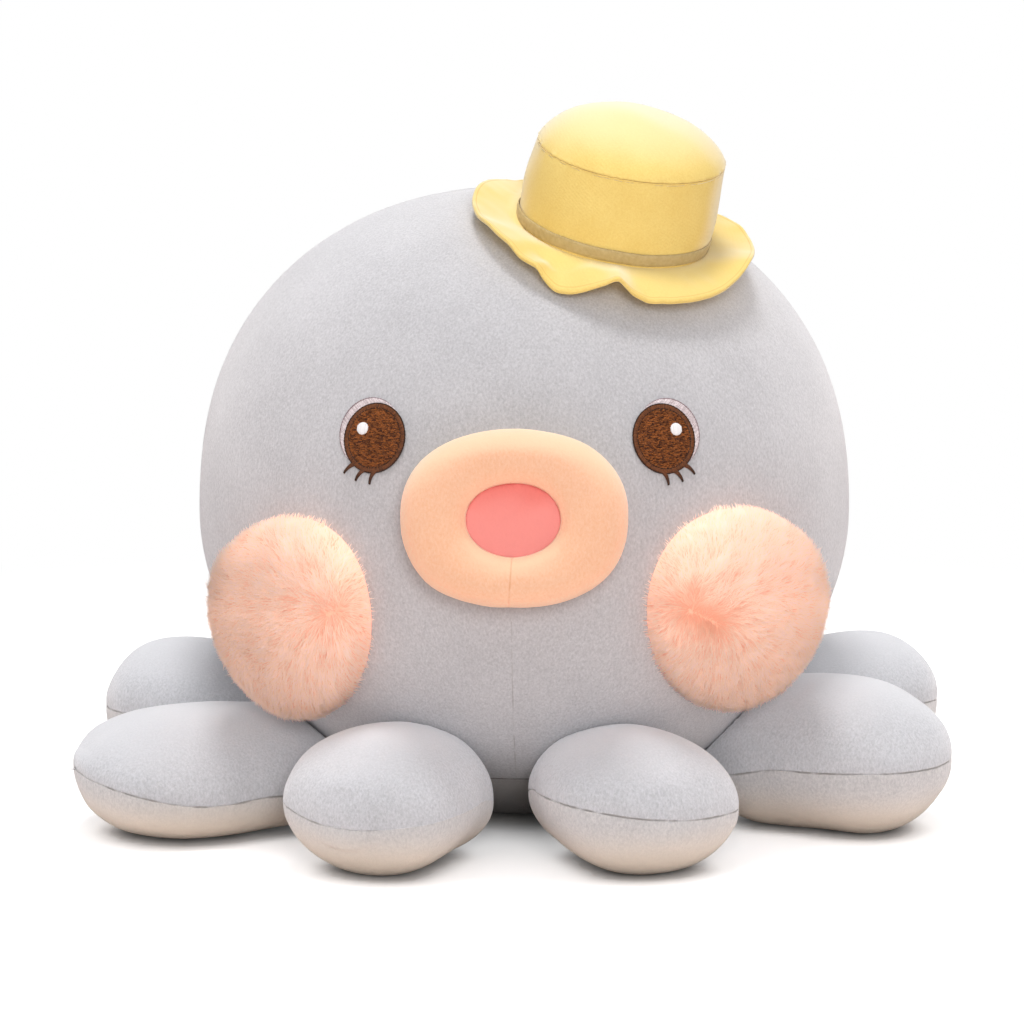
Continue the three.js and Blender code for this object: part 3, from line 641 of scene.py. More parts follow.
# slow turns of the combing: number of the wave, its length over the pad and its size in radians
comb_waves = [(1, 0.026, 0.5), (2, 0.008, 0.36), (6, 0.003, 0.34)]
# how far single strands differ: in the way they are combed, in radians, in lean, and in length
comb_spread = 0.26
lean_spread = 6
length_spread = 0.0008
# how much the combing hangs down, and the pad's own share in how the pile is lit
pile_sag = 0.2
pad_light = 0.86
# each cheek: side, turn and tilt of its middle, roll, shares of the half width and half height, the
# two ends of its parting outwards and up from the middle, and how dark its painted shade in the
# parting is
cheek_places = [
    ("left", -1, 42.9, -14.7, 43.5, 0.965, 1.03, (-0.0405, 0.013), (-0.037, 0.012), 0.2),
    ("right", 1, 41.6, -12.1, 48.7, 1.004, 0.985, (-0.0365, 0.0085), (-0.026, 0.004), 0.8),
]


class CheekForm:
    """Oval pad of one cheek. Its half width and half height lie in a frame rolled from the upright:
    a point a, b of the oval is at x = a cos - b sin outwards and y = a sin + b cos up."""

    def __init__(self, side, turn, tilt, roll, wide, high):
        self.side = side
        self.place = spot_on_ball(side * turn, tilt)
        self.ahead, self.aside = math.cos(math.radians(roll)), math.sin(math.radians(roll))
        self.wide = cheek_half_width * wide - pile_rim
        self.high = cheek_half_height * high - pile_rim

    def oval(self, share, angle):
        """Places x, y at a share of the way out to the pad's edge."""
        a, b = self.wide * share * np.cos(angle), self.high * share * np.sin(angle)
        return a * self.ahead - b * self.aside, a * self.aside + b * self.ahead

    def surface(self, x, y):
        """Pad under the pile: rise times (1 - share^n)^(1/n) over the oval."""
        a, b = x * self.ahead + y * self.aside, y * self.ahead - x * self.aside
        share = np.clip(np.hypot(a / self.wide, b / self.high), 0, 1)
        dome = (cheek_rise - pile_rise) * (1 - share**cheek_roundness) ** (1 / cheek_roundness)
        return self.place(self.side * x, y, 0.0005 + dome)


def cheek_pad(name, form):
    """Pad: the dome over an oval, closed by a flat back that lies on the face."""
    rows = np.sin(np.linspace(0, math.pi / 2, 26))
    share, angle = round_grid(rows, 96)
    x, y = form.oval(share, angle)
    outer = form.surface(x, y)
    inner = form.place(form.side * x, y, 0.0003 + 0 * x)
    facts = {"tip": 0.5 * share**6, "strand": 0.35 + 0.35 * share**6}
    return closed_mesh(name, outer, inner, facts, looped=True)


def cheek_pile(name, form, part_from, part_to, depth, seed):
    """Strands of the pile, each a three-sided taper on a path root + L (t A + t^2/2 (B - A)): it
    leaves the pad along A, part way over, and ends along B, laid flat away from the parting. Slow
    waves over the pad turn neighbouring strands alike, so that they fall into soft locks."""
    rng = np.random.default_rng(seed)

    def wave(number, wavelength):
        return ripple(seed + number, x / wavelength, y / wavelength)

    # where each strand is rooted, and the pad's surface there
    share = np.sqrt(rng.random(pile_count))
    angle = 2 * math.pi * rng.random(pile_count)
    x, y = form.oval(share, angle)
    root = form.surface(x, y)
    step = 0.0004
    inward = np.where(share > 0.965, 0.965 / share, 1)
    near_x, near_y = x * inward, y * inward
    along_x = form.surface(near_x + step, near_y) - form.surface(near_x - step, near_y)
    along_y = form.surface(near_x, near_y + step) - form.surface(near_x, near_y - step)
    normal = np.cross(along_x, along_y) * form.side
    normal /= length(normal)

    # how far it is from the parting, and which way it is combed
    line_x, line_y = part_to[0] - part_from[0], part_to[1] - part_from[1]
    along = ((x - part_from[0]) * line_x + (y - part_from[1]) * line_y) / (line_x**2 + line_y**2)
    along = np.clip(along, 0, 1)
    u, v = x - part_from[0] - along * line_x, y - part_from[1] - along * line_y
    away = np.hypot(u, v) + 1e-6
    turn = sum(size * wave(number, wavelength) for number, wavelength, size in comb_waves)
    turn += rng.normal(0, comb_spread, pile_count)
    rim = np.clip((share - 0.8) / 0.2, 0, 1)
    turn *= 1 - 0.3 * rim
    comb_x = (u * np.cos(turn) - v * np.sin(turn)) / away
    comb_y = (u * np.sin(turn) + v * np.cos(turn)) / away - pile_sag
    comb = along_x * comb_x[:, None] + along_y * comb_y[:, None]
    comb /= length(comb)
    lie = np.clip(away / flat_from, 0, 1)
    start = root_lean[0] + root_lean[1] * lie + rng.normal(0, lean_spread, pile_count)
    start += 5 * wave(3, 0.005)
    end = tip_lean[0] + tip_lean[1] * lie + rng.normal(0, lean_spread, pile_count)
    start, end = np.radians(start)[:, None], np.radians(end)[:, None]
    first = normal * np.cos(start) + comb * np.sin(start)
    last = normal * np.cos(end) + comb * np.sin(end)

    # how long and thick it is
    long = pile_length + 0.0007 * wave(4, 0.008) + rng.normal(0, length_spread, pile_count)
    outside = np.clip(x / 0.03, 0, 1)
    lock = ripple(seed + 7, np.arctan2(v, u) / 0.075 + 3 * turn, away / 0.008)
    lock *= np.clip(away / 0.006, 0, 1)
    long = (long + lock_growth * lock) * (0.58 + 0.42 * lie)
    long = (long * (1 - (0.55 + 0.2 * outside) * rim))[:, None]
    thick = rng.uniform(*pile_thickness, pile_count)

    # seven points: a ring at the root, a ring half way and the tip
    rings = np.array([0.0, 0.5])
    taper = np.array([1.0, 0.8])
    bend = rings[None, :, None] ** 2 / 2 * (last - first)[:, None]
    middle = root[:, None] + long[:, None] * (rings[None, :, None] * first[:, None] + bend)
    tip = root + long * (first + last) / 2
    aside = np.cross(normal, comb)
    spread = []
    for corner in range(3):
        swing = 2 * math.pi * corner / 3
        way = aside * math.cos(swing) + np.cross(first, aside) * math.sin(swing)
        spread.append(middle + way[:, None] * (thick[:, None] * taper)[..., None])
    ring_points = np.stack(spread, 2).reshape(pile_count, 6, 3)
    points = np.concatenate([ring_points, tip[:, None]], 1).reshape(-1, 3)
    quads = [[c, (c + 1) % 3, 3 + (c + 1) % 3, 3 + c] for c in range(3)]
    cone = [[3, 4, 6], [4, 5, 6], [5, 3, 6], [2, 1, 0]]
    triangles = np.array([t for a, b, c, d in quads for t in ([a, b, c], [a, c, d])] + cone)
    faces = (triangles[None] + 7 * np.arange(pile_count)[:, None, None]).reshape(-1, 3)

    # facts for the colour: how near the tip a point is, and the strand's tone: its own at random,
    # and darker in a painted shade in the parting and between the locks
    parting = depth * (0.5 * bell(away, 0.0075) + 0.5 * bell(away, 0.0018))
    strand = 0.25 + 0.55 * rng.random(pile_count) + 0.2 * wave(5, 0.011) + 0.28 * lock
    strand = np.clip(strand * (1 - parting), 0, 1)
    reach = np.tile(np.r_[np.repeat(rings, 3), 1.0], pile_count)
    reach *= np.repeat(np.clip(1 - 1.2 * parting, 0, 1), 7)
    piece = mesh_piece(name, points, faces, {"tip": reach, "strand": np.repeat(strand, 7)})

    # it is lit mostly as the pad under it
    lean = np.repeat(normal, 7, 0)
    piece.data.attributes["upward"].data.foreach_set("value", lean[:, 2].astype(np.float32))
    own = read_vectors(piece.data.vertex_normals, "vector")
    mixed = pad_light * lean + (1 - pad_light) * own
    piece.data.normals_split_custom_set_from_vertices((mixed / length(mixed)).tolist())
    return piece


def rabbit_pile():
    """Long acrylic pile: matt soft fibres that light shines through, deeper peach at their roots, a
    painted shade of the fibres on each other, paler at their tips, and creamy where the pile faces
    up, a painted top light."""
    look = Look("peach_long_pile")
    colour = look.blend(look.fade(look.fact("strand"), 0, 1), "#e4b096", "#f3d8c6")
    colour = look.blend(look.fade(look.fact("tip"), 0.2, 1, 0, 0.55), colour, "#f6e7dc")
    # painted top light: creamy where the pile faces up
    colour = look.blend(look.fade(look.fact("upward"), 0.3, 1, 0, 0.2), colour, "#f7e3d0")
    front = look.add("BsdfDiffuse", {"Color": colour}).outputs[0]
    through = look.add("BsdfTranslucent", {"Color": colour}).outputs[0]
    fibre = look.add("AddShader", {0: front, 1: through}).outputs[0]
    softened = look.add("MixShader", {0: 0.4, 1: fibre, 2: front}).outputs[0]
    look.add("OutputMaterial", {"Surface": softened})
    return look.owner


long_pile = rabbit_pile()
for side_name, side, turn, tilt, roll, wide, high, part_from, part_to, depth in cheek_places:
    form = CheekForm(side, turn, tilt, roll, wide, high)
    pad = cheek_pad(f"cheek_{side_name}_pad", form)
    pile = cheek_pile(f"cheek_{side_name}_pile", form, part_from, part_to, depth, 70 + side)
    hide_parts(f"cheek_{side_name}_stuffing")
    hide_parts(f"cheek_{side_name}_cover")
    pile.visible_shadow = False
    for piece in (pad, pile):
        piece.data.materials.append(long_pile)
        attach(piece, "body")

# Eyes: machine embroidery on the front panel in glossy rayon thread. A pale satin crescent lies
# behind, the dark brown is a row fill inside a satin border with three lashes, and a white satin
# dot is the glint.
eye_turn = 25.3
eye_shift = 1.2
eye_tilt = 17.95
iris_half_width = 0.0144
iris_half_height = 0.0149
border_width = 0.002
stitch_width = 0.00048
row_pitch = 0.0005
# shortest and longest stitch of a row, the shortest that is sewn at all, and how far rows run
# under the border
row_stitch = (0.0008, 0.0016)
least_stitch = 0.0004
fill_lap = 0.0003
# how high each layer of thread lies over the face
crescent_lift, fill_lift, border_lift, glint_lift = 0.0003, 0.0006, 0.0007, 0.001
glint_radius = 0.0027
glint_spot = np.array([0.0059, 0.0037])
crescent_growth = 0.0002
crescent_shift = (0.0028, 0.0023)
outline_width = 0.0004
lash_length = 0.0063
lash_bend = 0.0028
lash_half_width, lash_taper = 0.00105, 0.0006
# stitches round the border and the crescent
border_count, crescent_count = 236, 250
# each lash: where it leaves the border, where it points to, in degrees, and its share of the length
lash_angles = [(-125, -142, 0.95), (-102, -131, 0.9), (-80, -113, 0.88)]


def stitches(name, place, side, starts, ends, width, lift, seed, base=None, tones=None):
    """Bars of thread from starts to ends in the eye's own plane, x outwards: each is a low arch, a
    flat-bottomed hexagon across, that dives into the cloth at both ends. A thin plate may lie under
    them, at the darkest tone, a painted shade in the gaps between the stitches. Its strand fact is
    one number per bar, random unless tones gives it."""
    rng = np.random.default_rng(seed)
    count = len(starts)
    way = (ends - starts) / length(ends - starts)
    cross = np.stack([-way[:, 1], way[:, 0]], -1)
    wide = width * rng.uniform(0.9, 1.15, count)
    run = np.array([0.0, 0.14, 0.5, 0.86, 1.0])
    arch = np.array([-0.2, 0.75, 1.0, 0.75, -0.2])
    across = np.array([-0.5, -0.3, 0.3, 0.5, 0.0])
    upward = np.array([0.1, 0.75, 0.75, 0.1, -0.25])
    flat = starts[:, None] + (ends - starts)[:, None] * run[None, :, None]
    offset = across[None, None, :, None] * wide[:, None, None, None]
    flat = flat[:, :, None] + cross[:, None, None] * offset
    height = lift + width * (0.7 * arch[None, :, None] + upward[None, None, :])
    height = height + rng.uniform(0, 0.00008, count)[:, None, None]
    points = place(side * flat[..., 0], flat[..., 1], height).reshape(-1, 3)
    bar = []
    for row in range(4):
        for corner in range(5):
            a, b = 5 * row + corner, 5 * row + (corner + 1) % 5
            bar.append((a, b, b + 5, a + 5))
    bar += [(4, 3, 2, 1, 0), (20, 21, 22, 23, 24)]
    faces = [[25 * number + point for point in face] for number in range(count) for face in bar]
    strand = np.repeat(rng.random(count) if tones is None else tones, 25)
    if base is not None:
        share, angle = round_grid([0.0, 0.5, 1.0], 48)
        x, y = base(share, angle)
        plate = closed_faces(*share.shape, True) + len(points)
        layers = [place(side * x, y, height + 0 * x).reshape(-1, 3) for height in (lift, 0.0001)]
        points = np.concatenate([points, *layers])
        faces += plate.tolist()
        # the plate's darkest tone is the painted shade between the stitches
        strand = np.r_[strand, np.zeros(2 * share.size)]
    return mesh_piece(name, points, faces, {"strand": strand}, weld=1e-7)


def rayon_thread(name, dark, light, roughness=0.5):
    """Rayon embroidery thread, number 40: two plies twisted to 0.4 mm, with a soft silky shine and
    each stitch a little lighter or darker as it catches the light."""
    look = Look(name)
    plies = look.noise(look.place(), 1900, 2)
    mixed = look.work_out("MULTIPLY_ADD", plies, 1.3, look.fact("strand"))
    return look.cloth(
        Base_Color=look.blend(look.fade(mixed, 0.6, 1.7, smooth=False), dark, light),
        Normal=look.bump(plies, 0.0001, 0.4),
        Roughness=roughness,
        Specular_IOR_Level=0.3,
    )


brown_thread = rayon_thread("brown_rayon_thread", "#351505", "#a9622c")
border_thread = rayon_thread("dark_brown_rayon_thread", "#1c0d05", "#8a4f28")
white_thread = rayon_thread("white_rayon_thread", "#e6e3e4", "#fbfafa", 0.4)
pink_thread = rayon_thread("pale_pink_rayon_thread", "#83696c", "#efe3e5", 0.45)


def fill_rows(half_width, half_height, seed):
    """Row fill of an oval: stitches 0.8 to 1.6 mm long end to end along rows a thread apart, with
    each row broken at its own places."""
    rng = np.random.default_rng(seed)
    starts, ends = [], []
    for y in np.arange(-half_height + fill_lap, half_height, row_pitch):
        half = half_width * math.sqrt(max(1 - (y / half_height) ** 2, 0))
        x = -half - rng.uniform(0, 0.002)
        while x < half:
            stop = x + rng.uniform(*row_stitch)
            a, b = max(x, -half), min(stop, half)
            if b - a > least_stitch:
                tilt = rng.normal(0, 0.00016, 2)
                starts.append((a, y + tilt[0]))
                ends.append((b, y + tilt[1]))
            x = stop
    return np.array(starts), np.array(ends)


def oval_ring(inner, outer, count, keep=None):
    """Satin stitches between two ovals, each given as (x, y, half width, half height): from the
    inner one straight out to the outer one. With keep, only those that are longer."""
    angle = np.linspace(0, 2 * math.pi, count, endpoint=False)
    way = np.stack([np.cos(angle), np.sin(angle)], -1)
    starts = way * inner[2:] + inner[:2]
    ends = way * outer[2:] + outer[:2]
    if keep is not None:
        kept = np.linalg.norm(ends, axis=-1) - np.linalg.norm(starts, axis=-1) > keep
        starts, ends = starts[kept], ends[kept]
    return starts, ends


def oval_line(x, y, half_width, half_height, lap=0.0014):
    """Running stitches end to end along an oval, each a lap long."""
    count = int(2 * math.pi * half_width / lap)
    angle = np.linspace(0, 2 * math.pi, count + 1)
    path = np.stack([x + half_width * np.cos(angle), y + half_height * np.sin(angle)], -1)
    return path[:-1], path[1:]


def lash_bars(angles):
    """Satin stitches across one lash: it leaves the border outwards, bends down and narrows."""
    leave, point = (math.radians(a) for a in angles[:2])
    reach = lash_length * angles[2]
    inset = border_width * 0.5
    root = np.array(
        [-(iris_half_width - inset) * math.cos(leave), (iris_half_height - inset) * math.sin(leave)]
    )
    t = np.linspace(0, 1, 22)[:, None]
    way = np.array([-math.cos(point), math.sin(point)])
    bend = np.array([-way[1], way[0]])
    path = root + way * t * (reach + border_width / 2) + bend * lash_bend * (t - t**2)
    half = (lash_half_width - lash_taper * t) * bend
    return path - half, path + half


inner_width, inner_height = iris_half_width - border_width, iris_half_height - border_width
iris_oval = (0, 0, iris_half_width, iris_half_height)
crescent_oval = (*crescent_shift, *(half + crescent_growth for half in iris_oval[2:]))


def iris_share(share, angle):
    """Points of the row fill's oval at a share of the way out."""
    return inner_width * share * np.cos(angle), inner_height * share * np.sin(angle)


def border_bars(rng):
    """Satin ring round the iris with a line of stitches along both its edges, and the lashes."""
    parts = [oval_ring((0, 0, inner_width, inner_height), iris_oval, border_count)]
    tones = [rng.uniform(0.3, 0.75, border_count)]
    for edge in (iris_half_width + 0.0001, inner_width):
        parts.append(oval_line(0, 0, edge, edge + iris_half_height - iris_half_width))
        tones.append(np.zeros(len(parts[-1][0])))
    for angles in lash_angles:
        parts.append(lash_bars(angles))
        tones.append(np.linspace(0.6, 0.0, 22))
    starts, ends = (np.concatenate(rows) for rows in zip(*parts))
    return starts, ends, np.concatenate(tones)


def crescent_bars(rng):
    """Satin from the border out to the shifted oval where that shows, and a line along its edge."""
    bars = oval_ring(iris_oval, crescent_oval, crescent_count, least_stitch)
    line = oval_line(*crescent_oval)
    clear = np.hypot(line[0][:, 0] / iris_half_width, line[0][:, 1] / iris_half_height) > 1.02
    starts, ends = (np.concatenate([bar, edge[clear]]) for bar, edge in zip(bars, line))
    return starts, ends, np.r_[rng.uniform(0.55, 1.0, len(bars[0])), np.zeros(clear.sum())]


def glint_bars():
    """Upright satin rows of the round glint."""
    rows = np.arange(-glint_radius + 0.0002, glint_radius, 0.0004)
    half = glint_radius * np.sqrt(1 - (rows / glint_radius) ** 2)
    return np.stack([rows, -half], -1) + glint_spot, np.stack([rows, half], -1) + glint_spot


for side_name, side in (("left", -1), ("right", 1)):
    own = (spot_on_ball(side * eye_turn + eye_shift, eye_tilt), side)
    rows = fill_rows(inner_width + fill_lap, inner_height + fill_lap, 90 + side)
    rng = np.random.default_rng(40 + side)
    *border, border_tones = border_bars(rng)
    *crescent, crescent_tones = crescent_bars(rng)
    for piece, node, thread, slot, bars, width, lift, seed, more in (
        ("fill", "iris", brown_thread, "brown_thread", rows, stitch_width, fill_lift, 31,
         {"base": iris_share}),
        ("satin_border", "border", border_thread, "dark_brown_thread", border, stitch_width,
         border_lift, 32, {"tones": border_tones}),
        ("crescent", "backing", pink_thread, "pink_thread", crescent, outline_width, crescent_lift,
         33, {"tones": crescent_tones}),
        ("glint", "highlight", white_thread, "white_thread", glint_bars(), stitch_width, glint_lift,
         34, {}),
    ):
        stitched = stitches(f"eye_{side_name}_{piece}", *own, *bars, width, lift, seed, **more)
        stitched.data.materials.append(thread)
        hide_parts(f"eye_{side_name}_{node}")
        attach(stitched, "body")

# Hat: a small bucket hat of brushed yellow cotton, sewn on the right of the head. A stuffed round
# top is seamed to a barrel side, a tan ribbon goes round the side's foot, and the two-layer brim
# waves.
hat_origin = np.array([0.0418, -0.057, 0.27532])
hat_lean_right = math.radians(12.5)
hat_lean_forward = math.radians(13.2)
hat_base_radius = 0.043
hat_top_radius = 0.0413
hat_side_height = 0.0373
hat_side_bulge = 0.0012
hat_top_shift = 0.0016
hat_dome_rise = 0.0185
# the dome's height over its base is its rise times (1 - share^first)^second
dome_powers = (2.2, 0.69)
# the top seam rises to the right, and the crown's foot drops at the front left
seam_slant = (0.0022, 0.0016)
foot_drop = 0.0026
cotton_thickness = 0.0014
hat_roll = 0.0005
# gathers of the crown's top and side along their seam: height and spacing
top_gather, top_pitch = 0.0003, 0.0011
side_gather, side_pitch = 0.00015, 0.0014
# slow slack of the crown's top and side, and slow and quick slack of the brim
top_slack, side_slack, brim_slack, brim_ruffle = 0.0004, 0.0008, 0.0005, 0.0002
band_width = 0.0056
band_foot = 0.0006
band_thickness = 0.0007
rib_pitch = 0.0008
brim_radius = 0.0645
brim_wave = 0.015
brim_flare = 1.25
brim_sink = 0.0013
brim_thickness = 0.0011
brim_hem = 0.0018
# height of the brim's edge from the right towards the back: turn, rise
brim_waves = np.array(
    [
        [0, 0.31], [0.04, 0.33], [0.075, 0.4], [0.115, 0.35], [0.16, 0.12], [0.2, 0],
        [0.26, -0.12], [0.32, -0.02], [0.38, 0.05], [0.42, 0.2], [0.455, 0.3], [0.5, 0.2],
        [0.55, 0.08], [0.595, 0.1], [0.622, 0.0], [0.644, -0.24], [0.658, -0.29], [0.668, -0.34],
        [0.68, -0.62], [0.694, -0.84], [0.71, -0.8], [0.73, -0.56], [0.747, -0.28], [0.761, -0.07],
        [0.77, -0.22], [0.779, -0.4], [0.792, -0.52], [0.82, -0.56], [0.858, -0.5], [0.892, -0.34],
        [0.925, -0.05], [0.955, 0.26], [1, 0.31],
    ]
)
# creases between crown and edge: rise, turn and width, share of the way out and width
brim_creases = [(-0.003, 0.668, 0.026, 0.5, 0.26), (0.0018, 0.722, 0.02, 0.55, 0.3)]
hat_up = np.array([math.sin(hat_lean_right), -math.sin(hat_lean_forward), 1.0])
hat_up /= np.linalg.norm(hat_up)
hat_right = np.array([1.0, 0, 0]) - hat_up * hat_up[0]
hat_right /= np.linalg.norm(hat_right)
hat_back = np.cross(hat_up, hat_right)


def hat_place(turn, radius, height):
    """Point of the hat at a turn round its axis from the right towards the back."""
    aside = np.cos(turn)[..., None] * hat_right + np.sin(turn)[..., None] * hat_back
    return hat_origin + aside * radius[..., None] + hat_up * height[..., None]


def wave_round(seed, turn, size, *more):
    """Ripple over the places of a round piece, whose radius is given in wavelengths."""
    return ripple(seed, np.cos(turn) * size, np.sin(turn) * size, *more)


def brushed_cotton(name, shade, low, high, painted_sheen_colour, lit):
    """Brushed cotton drill: a flat matt cloth with a fine diagonal weave of 0.3 mm threads, drawn
    at 0.7 mm so that it just shows, slightly uneven dye, and a fine fuzz. It is paler where it is
    seen along the surface, a painted sheen, and where it faces up, a painted top light."""
    look = Look(name)
    place = look.place()
    fuzz = look.noise(place, 1300, 2)
    uneven = look.work_out("MULTIPLY_ADD", look.noise(place, 60, 3), 0.75, fuzz)
    cloth = look.blend(look.fade(uneven, 0.55, 1.15, smooth=False), low, high)
    # painted top light where the cloth faces up
    cloth = look.blend(look.fade(look.fact("upward"), 0.35, 1, 0, 0.75), cloth, lit)
    # painted sheen where the cloth is seen along the surface
    facing = look.add("LayerWeight", {"Blend": 0.5}).outputs["Facing"]
    cloth = look.blend(look.fade(facing, 0.45, 1, 0, 0.8), cloth, painted_sheen_colour)
    near = look.fade(look.fact("seam"), 0.0001, 0.0007, 0.6, 0, smooth=False)
    cloth = look.blend(near, cloth, shade)
    turned = look.add("Mapping", {"Vector": place, "Rotation": (0.3, 0.75, 0.4)}).outputs["Vector"]
    threads = {"Vector": turned, "Scale": 230, "Distortion": 1.2, "Detail": 1}
    drill = look.add("TexWave", threads).outputs["Fac"]
    weave = look.work_out("MULTIPLY_ADD", drill, 0.2, fuzz)
    return look.cloth(
        Base_Color=cloth,
        Normal=look.bump(weave, 0.0004, 0.5),
        Roughness=0.9,
        Sheen_Weight=0.12,
        Sheen_Roughness=0.5,
        Specular_IOR_Level=0.2,
    )


yellow_cotton = brushed_cotton(
    "yellow_brushed_cotton", "#cf9f44", "#e8c872", "#f0d582", "#fef5de", "#f7ebb9"
)
# the brim takes a deeper lit colour than the crown, a weaker painted top light, and is a little
# deeper in colour
brim_cotton = brushed_cotton(
    "yellow_brushed_cotton_brim", "#cf9f44", "#e8c770", "#f0d380", "#fef5dc", "#efd78a"
)


def grosgrain(name):
    """Grosgrain ribbon: ribs across the ribbon, 0.4 mm in the real one and drawn at 0.8 mm."""
    look = Look(name)
    phase = look.work_out("MULTIPLY", look.fact("run"), 2 * math.pi / rib_pitch)
    return look.cloth(
        Base_Color=look.blend(look.noise(look.place(), 500, 3), "#ad9257", "#cfb985"),
        Normal=look.bump(look.work_out("SINE", phase), 0.0001, 0.35),
        Roughness=0.6,
        Sheen_Weight=0.15,
    )


ribbon = grosgrain("tan_grosgrain_ribbon")


def crown_radius(share, turn):
    """Radius of the crown's side: straight from base to top, swollen between its two seams and a
    little further out on the right."""
    own = hat_base_radius + (hat_top_radius - hat_base_radius) * share
    swollen = own + hat_side_bulge * np.sin(math.pi * share)
    return swollen + hat_top_shift * share * np.clip(np.cos(turn), 0, 1)


def slant_at(turn):
    """Height of the top seam over its level: it rises to the right and to the back."""
    return seam_slant[0] * np.cos(turn) + seam_slant[1] * np.sin(turn)


def foot_at(turn):
    """How far the crown's foot lies below the hat's plane: most at the front left."""
    return foot_drop * (0.5 + 0.5 * np.cos(turn - math.radians(225)))


def crown_top():
    """Round top: a dome of the crown's radius that is gathered into its seam in small puckers."""
    ring = graded(0, math.pi / 2 * hat_top_radius, 0.0022, fine_low=False) / hat_top_radius
    rows, turn = round_grid(ring, 288)
    share = np.sin(rows)
    seam = (math.pi / 2 - rows) * hat_top_radius
    dome = hat_dome_rise * (1 - share ** dome_powers[0]) ** dome_powers[1]
    swell = 0.0002 * bell(seam - 0.003, 0.003)
    height = hat_side_height + 0.0004 + dome + slant_at(turn) * share**3
    points = hat_place(turn, crown_radius(1.0, turn) * share + swell, height)
    gather = np.cos(turn * hat_top_radius / top_pitch + 4 * wave_round(61, turn, 2))
    gather *= 0.55 + 0.45 * wave_round(62, turn, 2.6)
    push = top_gather * gather * bell(seam - 0.0015, 0.0035)
    push += top_slack * wave_round(63, turn, share * 1.6) * np.clip(seam / 0.02, 0, 1)
    normals = grid_normals(points, looped=True)
    outer = points + normals * (push - rolled_in(seam, hat_roll))[..., None]
    depth = (cotton_thickness + 0.0002) * np.clip(seam / 0.002, 0.15, 1)
    inner = points - hat_up * depth[..., None]
    return closed_mesh("hat_top", outer, inner, {"seam": seam}, looped=True)


def crown_side():
    """Barrel side: it stands on the head and rolls into the top seam, with faint upright slack."""
    heights = graded(-0.012, hat_side_height, 0.0025, fine_low=False)
    height, turn = round_grid(heights, 144)
    share = np.clip(height / hat_side_height, 0, 1)
    seam = hat_side_height - height
    back = np.abs((turn - math.pi / 2 + math.pi) % (2 * math.pi) - math.pi) * hat_base_radius
    soft = side_slack * wave_round(71, turn, 1.3, share * 0.8) * np.sin(math.pi * share)
    gather = np.cos(turn * hat_top_radius / side_pitch + 3 * wave_round(72, turn, 2))
    soft += side_gather * gather * np.exp(-seam / 0.003)
    radius = crown_radius(share, turn) + soft - rolled_in(seam, hat_roll) - rolled_in(back, 0.0006)
    height = height + slant_at(turn) * share**3
    outer = off_the_ball(hat_place(turn, radius, height), 0.0004)
    inner = off_the_ball(hat_place(turn, radius - cotton_thickness, height), 0.0004)
    return closed_mesh("hat_side", outer, inner, {"seam": np.minimum(seam, back)}, looped=True)


def hat_ribbon():
    """Ribbon round the foot of the side, with thin rounded edges."""
    across = np.array([0, 0.04, 0.12, 0.3, 0.5, 0.7, 0.88, 0.96, 1.0])
    crown = np.array([0, 0.5, 0.85, 1, 1, 1, 0.85, 0.5, 0])
    share, turn = round_grid(across, 144)
    height = band_foot + share * band_width + 0.0002 * wave_round(75, turn, 1.5) - foot_at(turn)
    radius = crown_radius(height / hat_side_height, turn) + 0.0003
    outer = off_the_ball(hat_place(turn, radius + band_thickness * crown[:, None], height), 0.0012)
    inner = off_the_ball(hat_place(turn, radius, height), 0.0011)
    return closed_mesh("hat_ribbon", outer, inner, {"run": turn * hat_base_radius}, looped=True)


def brim_layer(name, upper):
    """One layer of the brim: it spreads from the crown's foot, and its height is the wave of the
    edge times the share of the way out to the power brim_flare, with its creases. The edge is
    turned in, so it ends in a round fold, and a hem runs along it."""
    inner_radius = hat_base_radius - 0.0012
    width = brim_radius - inner_radius
    radius, turn = round_grid(graded(0, width, 0.0016, fine_low=False) + inner_radius, 360)
    out = (radius - inner_radius) / width
    share = turn / (2 * math.pi)
    edge = smooth_through(brim_waves[:, 0], brim_waves[:, 1], share) * brim_wave
    soft = brim_slack * wave_round(81, turn, radius / 0.03)
    soft += brim_ruffle * wave_round(82, turn, radius / 0.011)
    middle = edge * out**brim_flare + soft * out - brim_sink - foot_at(turn) * (1 - out) ** 1.5
    for rise, at, wide, out_at, out_wide in brim_creases:
        middle += rise * bell(share - at, wide) * bell(out - out_at, out_wide)
    fold = rolled_in(brim_radius - radius, brim_thickness)
    if upper:
        face = middle + brim_thickness - fold
        back = np.minimum(middle + 0.00005, face - 0.00001)
        face_lift, back_lift = 0.0016, 0.0015
    else:
        face = middle - brim_thickness + fold
        back = np.maximum(middle - 0.00012, face + 0.00001)
        face_lift, back_lift = 0.0005, 0.0014
    outer = off_the_ball(hat_place(turn, radius, face), face_lift)
    inner = off_the_ball(hat_place(turn, radius - 0.0002, back), back_lift)
    seam = np.abs(brim_radius - radius - brim_hem) + 0.0003
    return closed_mesh(name, outer, inner, {"seam": seam}, looped=True)


hat_top = crown_top()
hat_side = crown_side()
hat_band = hat_ribbon()
brim_upper = brim_layer("hat_brim_top_layer", True)
brim_under = brim_layer("hat_brim_lower_layer", False)
for piece, cloth, slot, *nodes in (
    (hat_top, yellow_cotton, "yellow_cotton", "hat_crown_top", "hat_stuffing"),
    (hat_side, yellow_cotton, "yellow_cotton", "hat_crown_side"),
    (hat_band, ribbon, "tan_ribbon", "hat_band"),
    (brim_upper, brim_cotton, "yellow_cotton", "hat_brim_upper"),
    (brim_under, brim_cotton, "yellow_cotton", "hat_brim_under"),
):
    piece.data.materials.append(cloth)
    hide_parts(*nodes)
    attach(piece, "body")

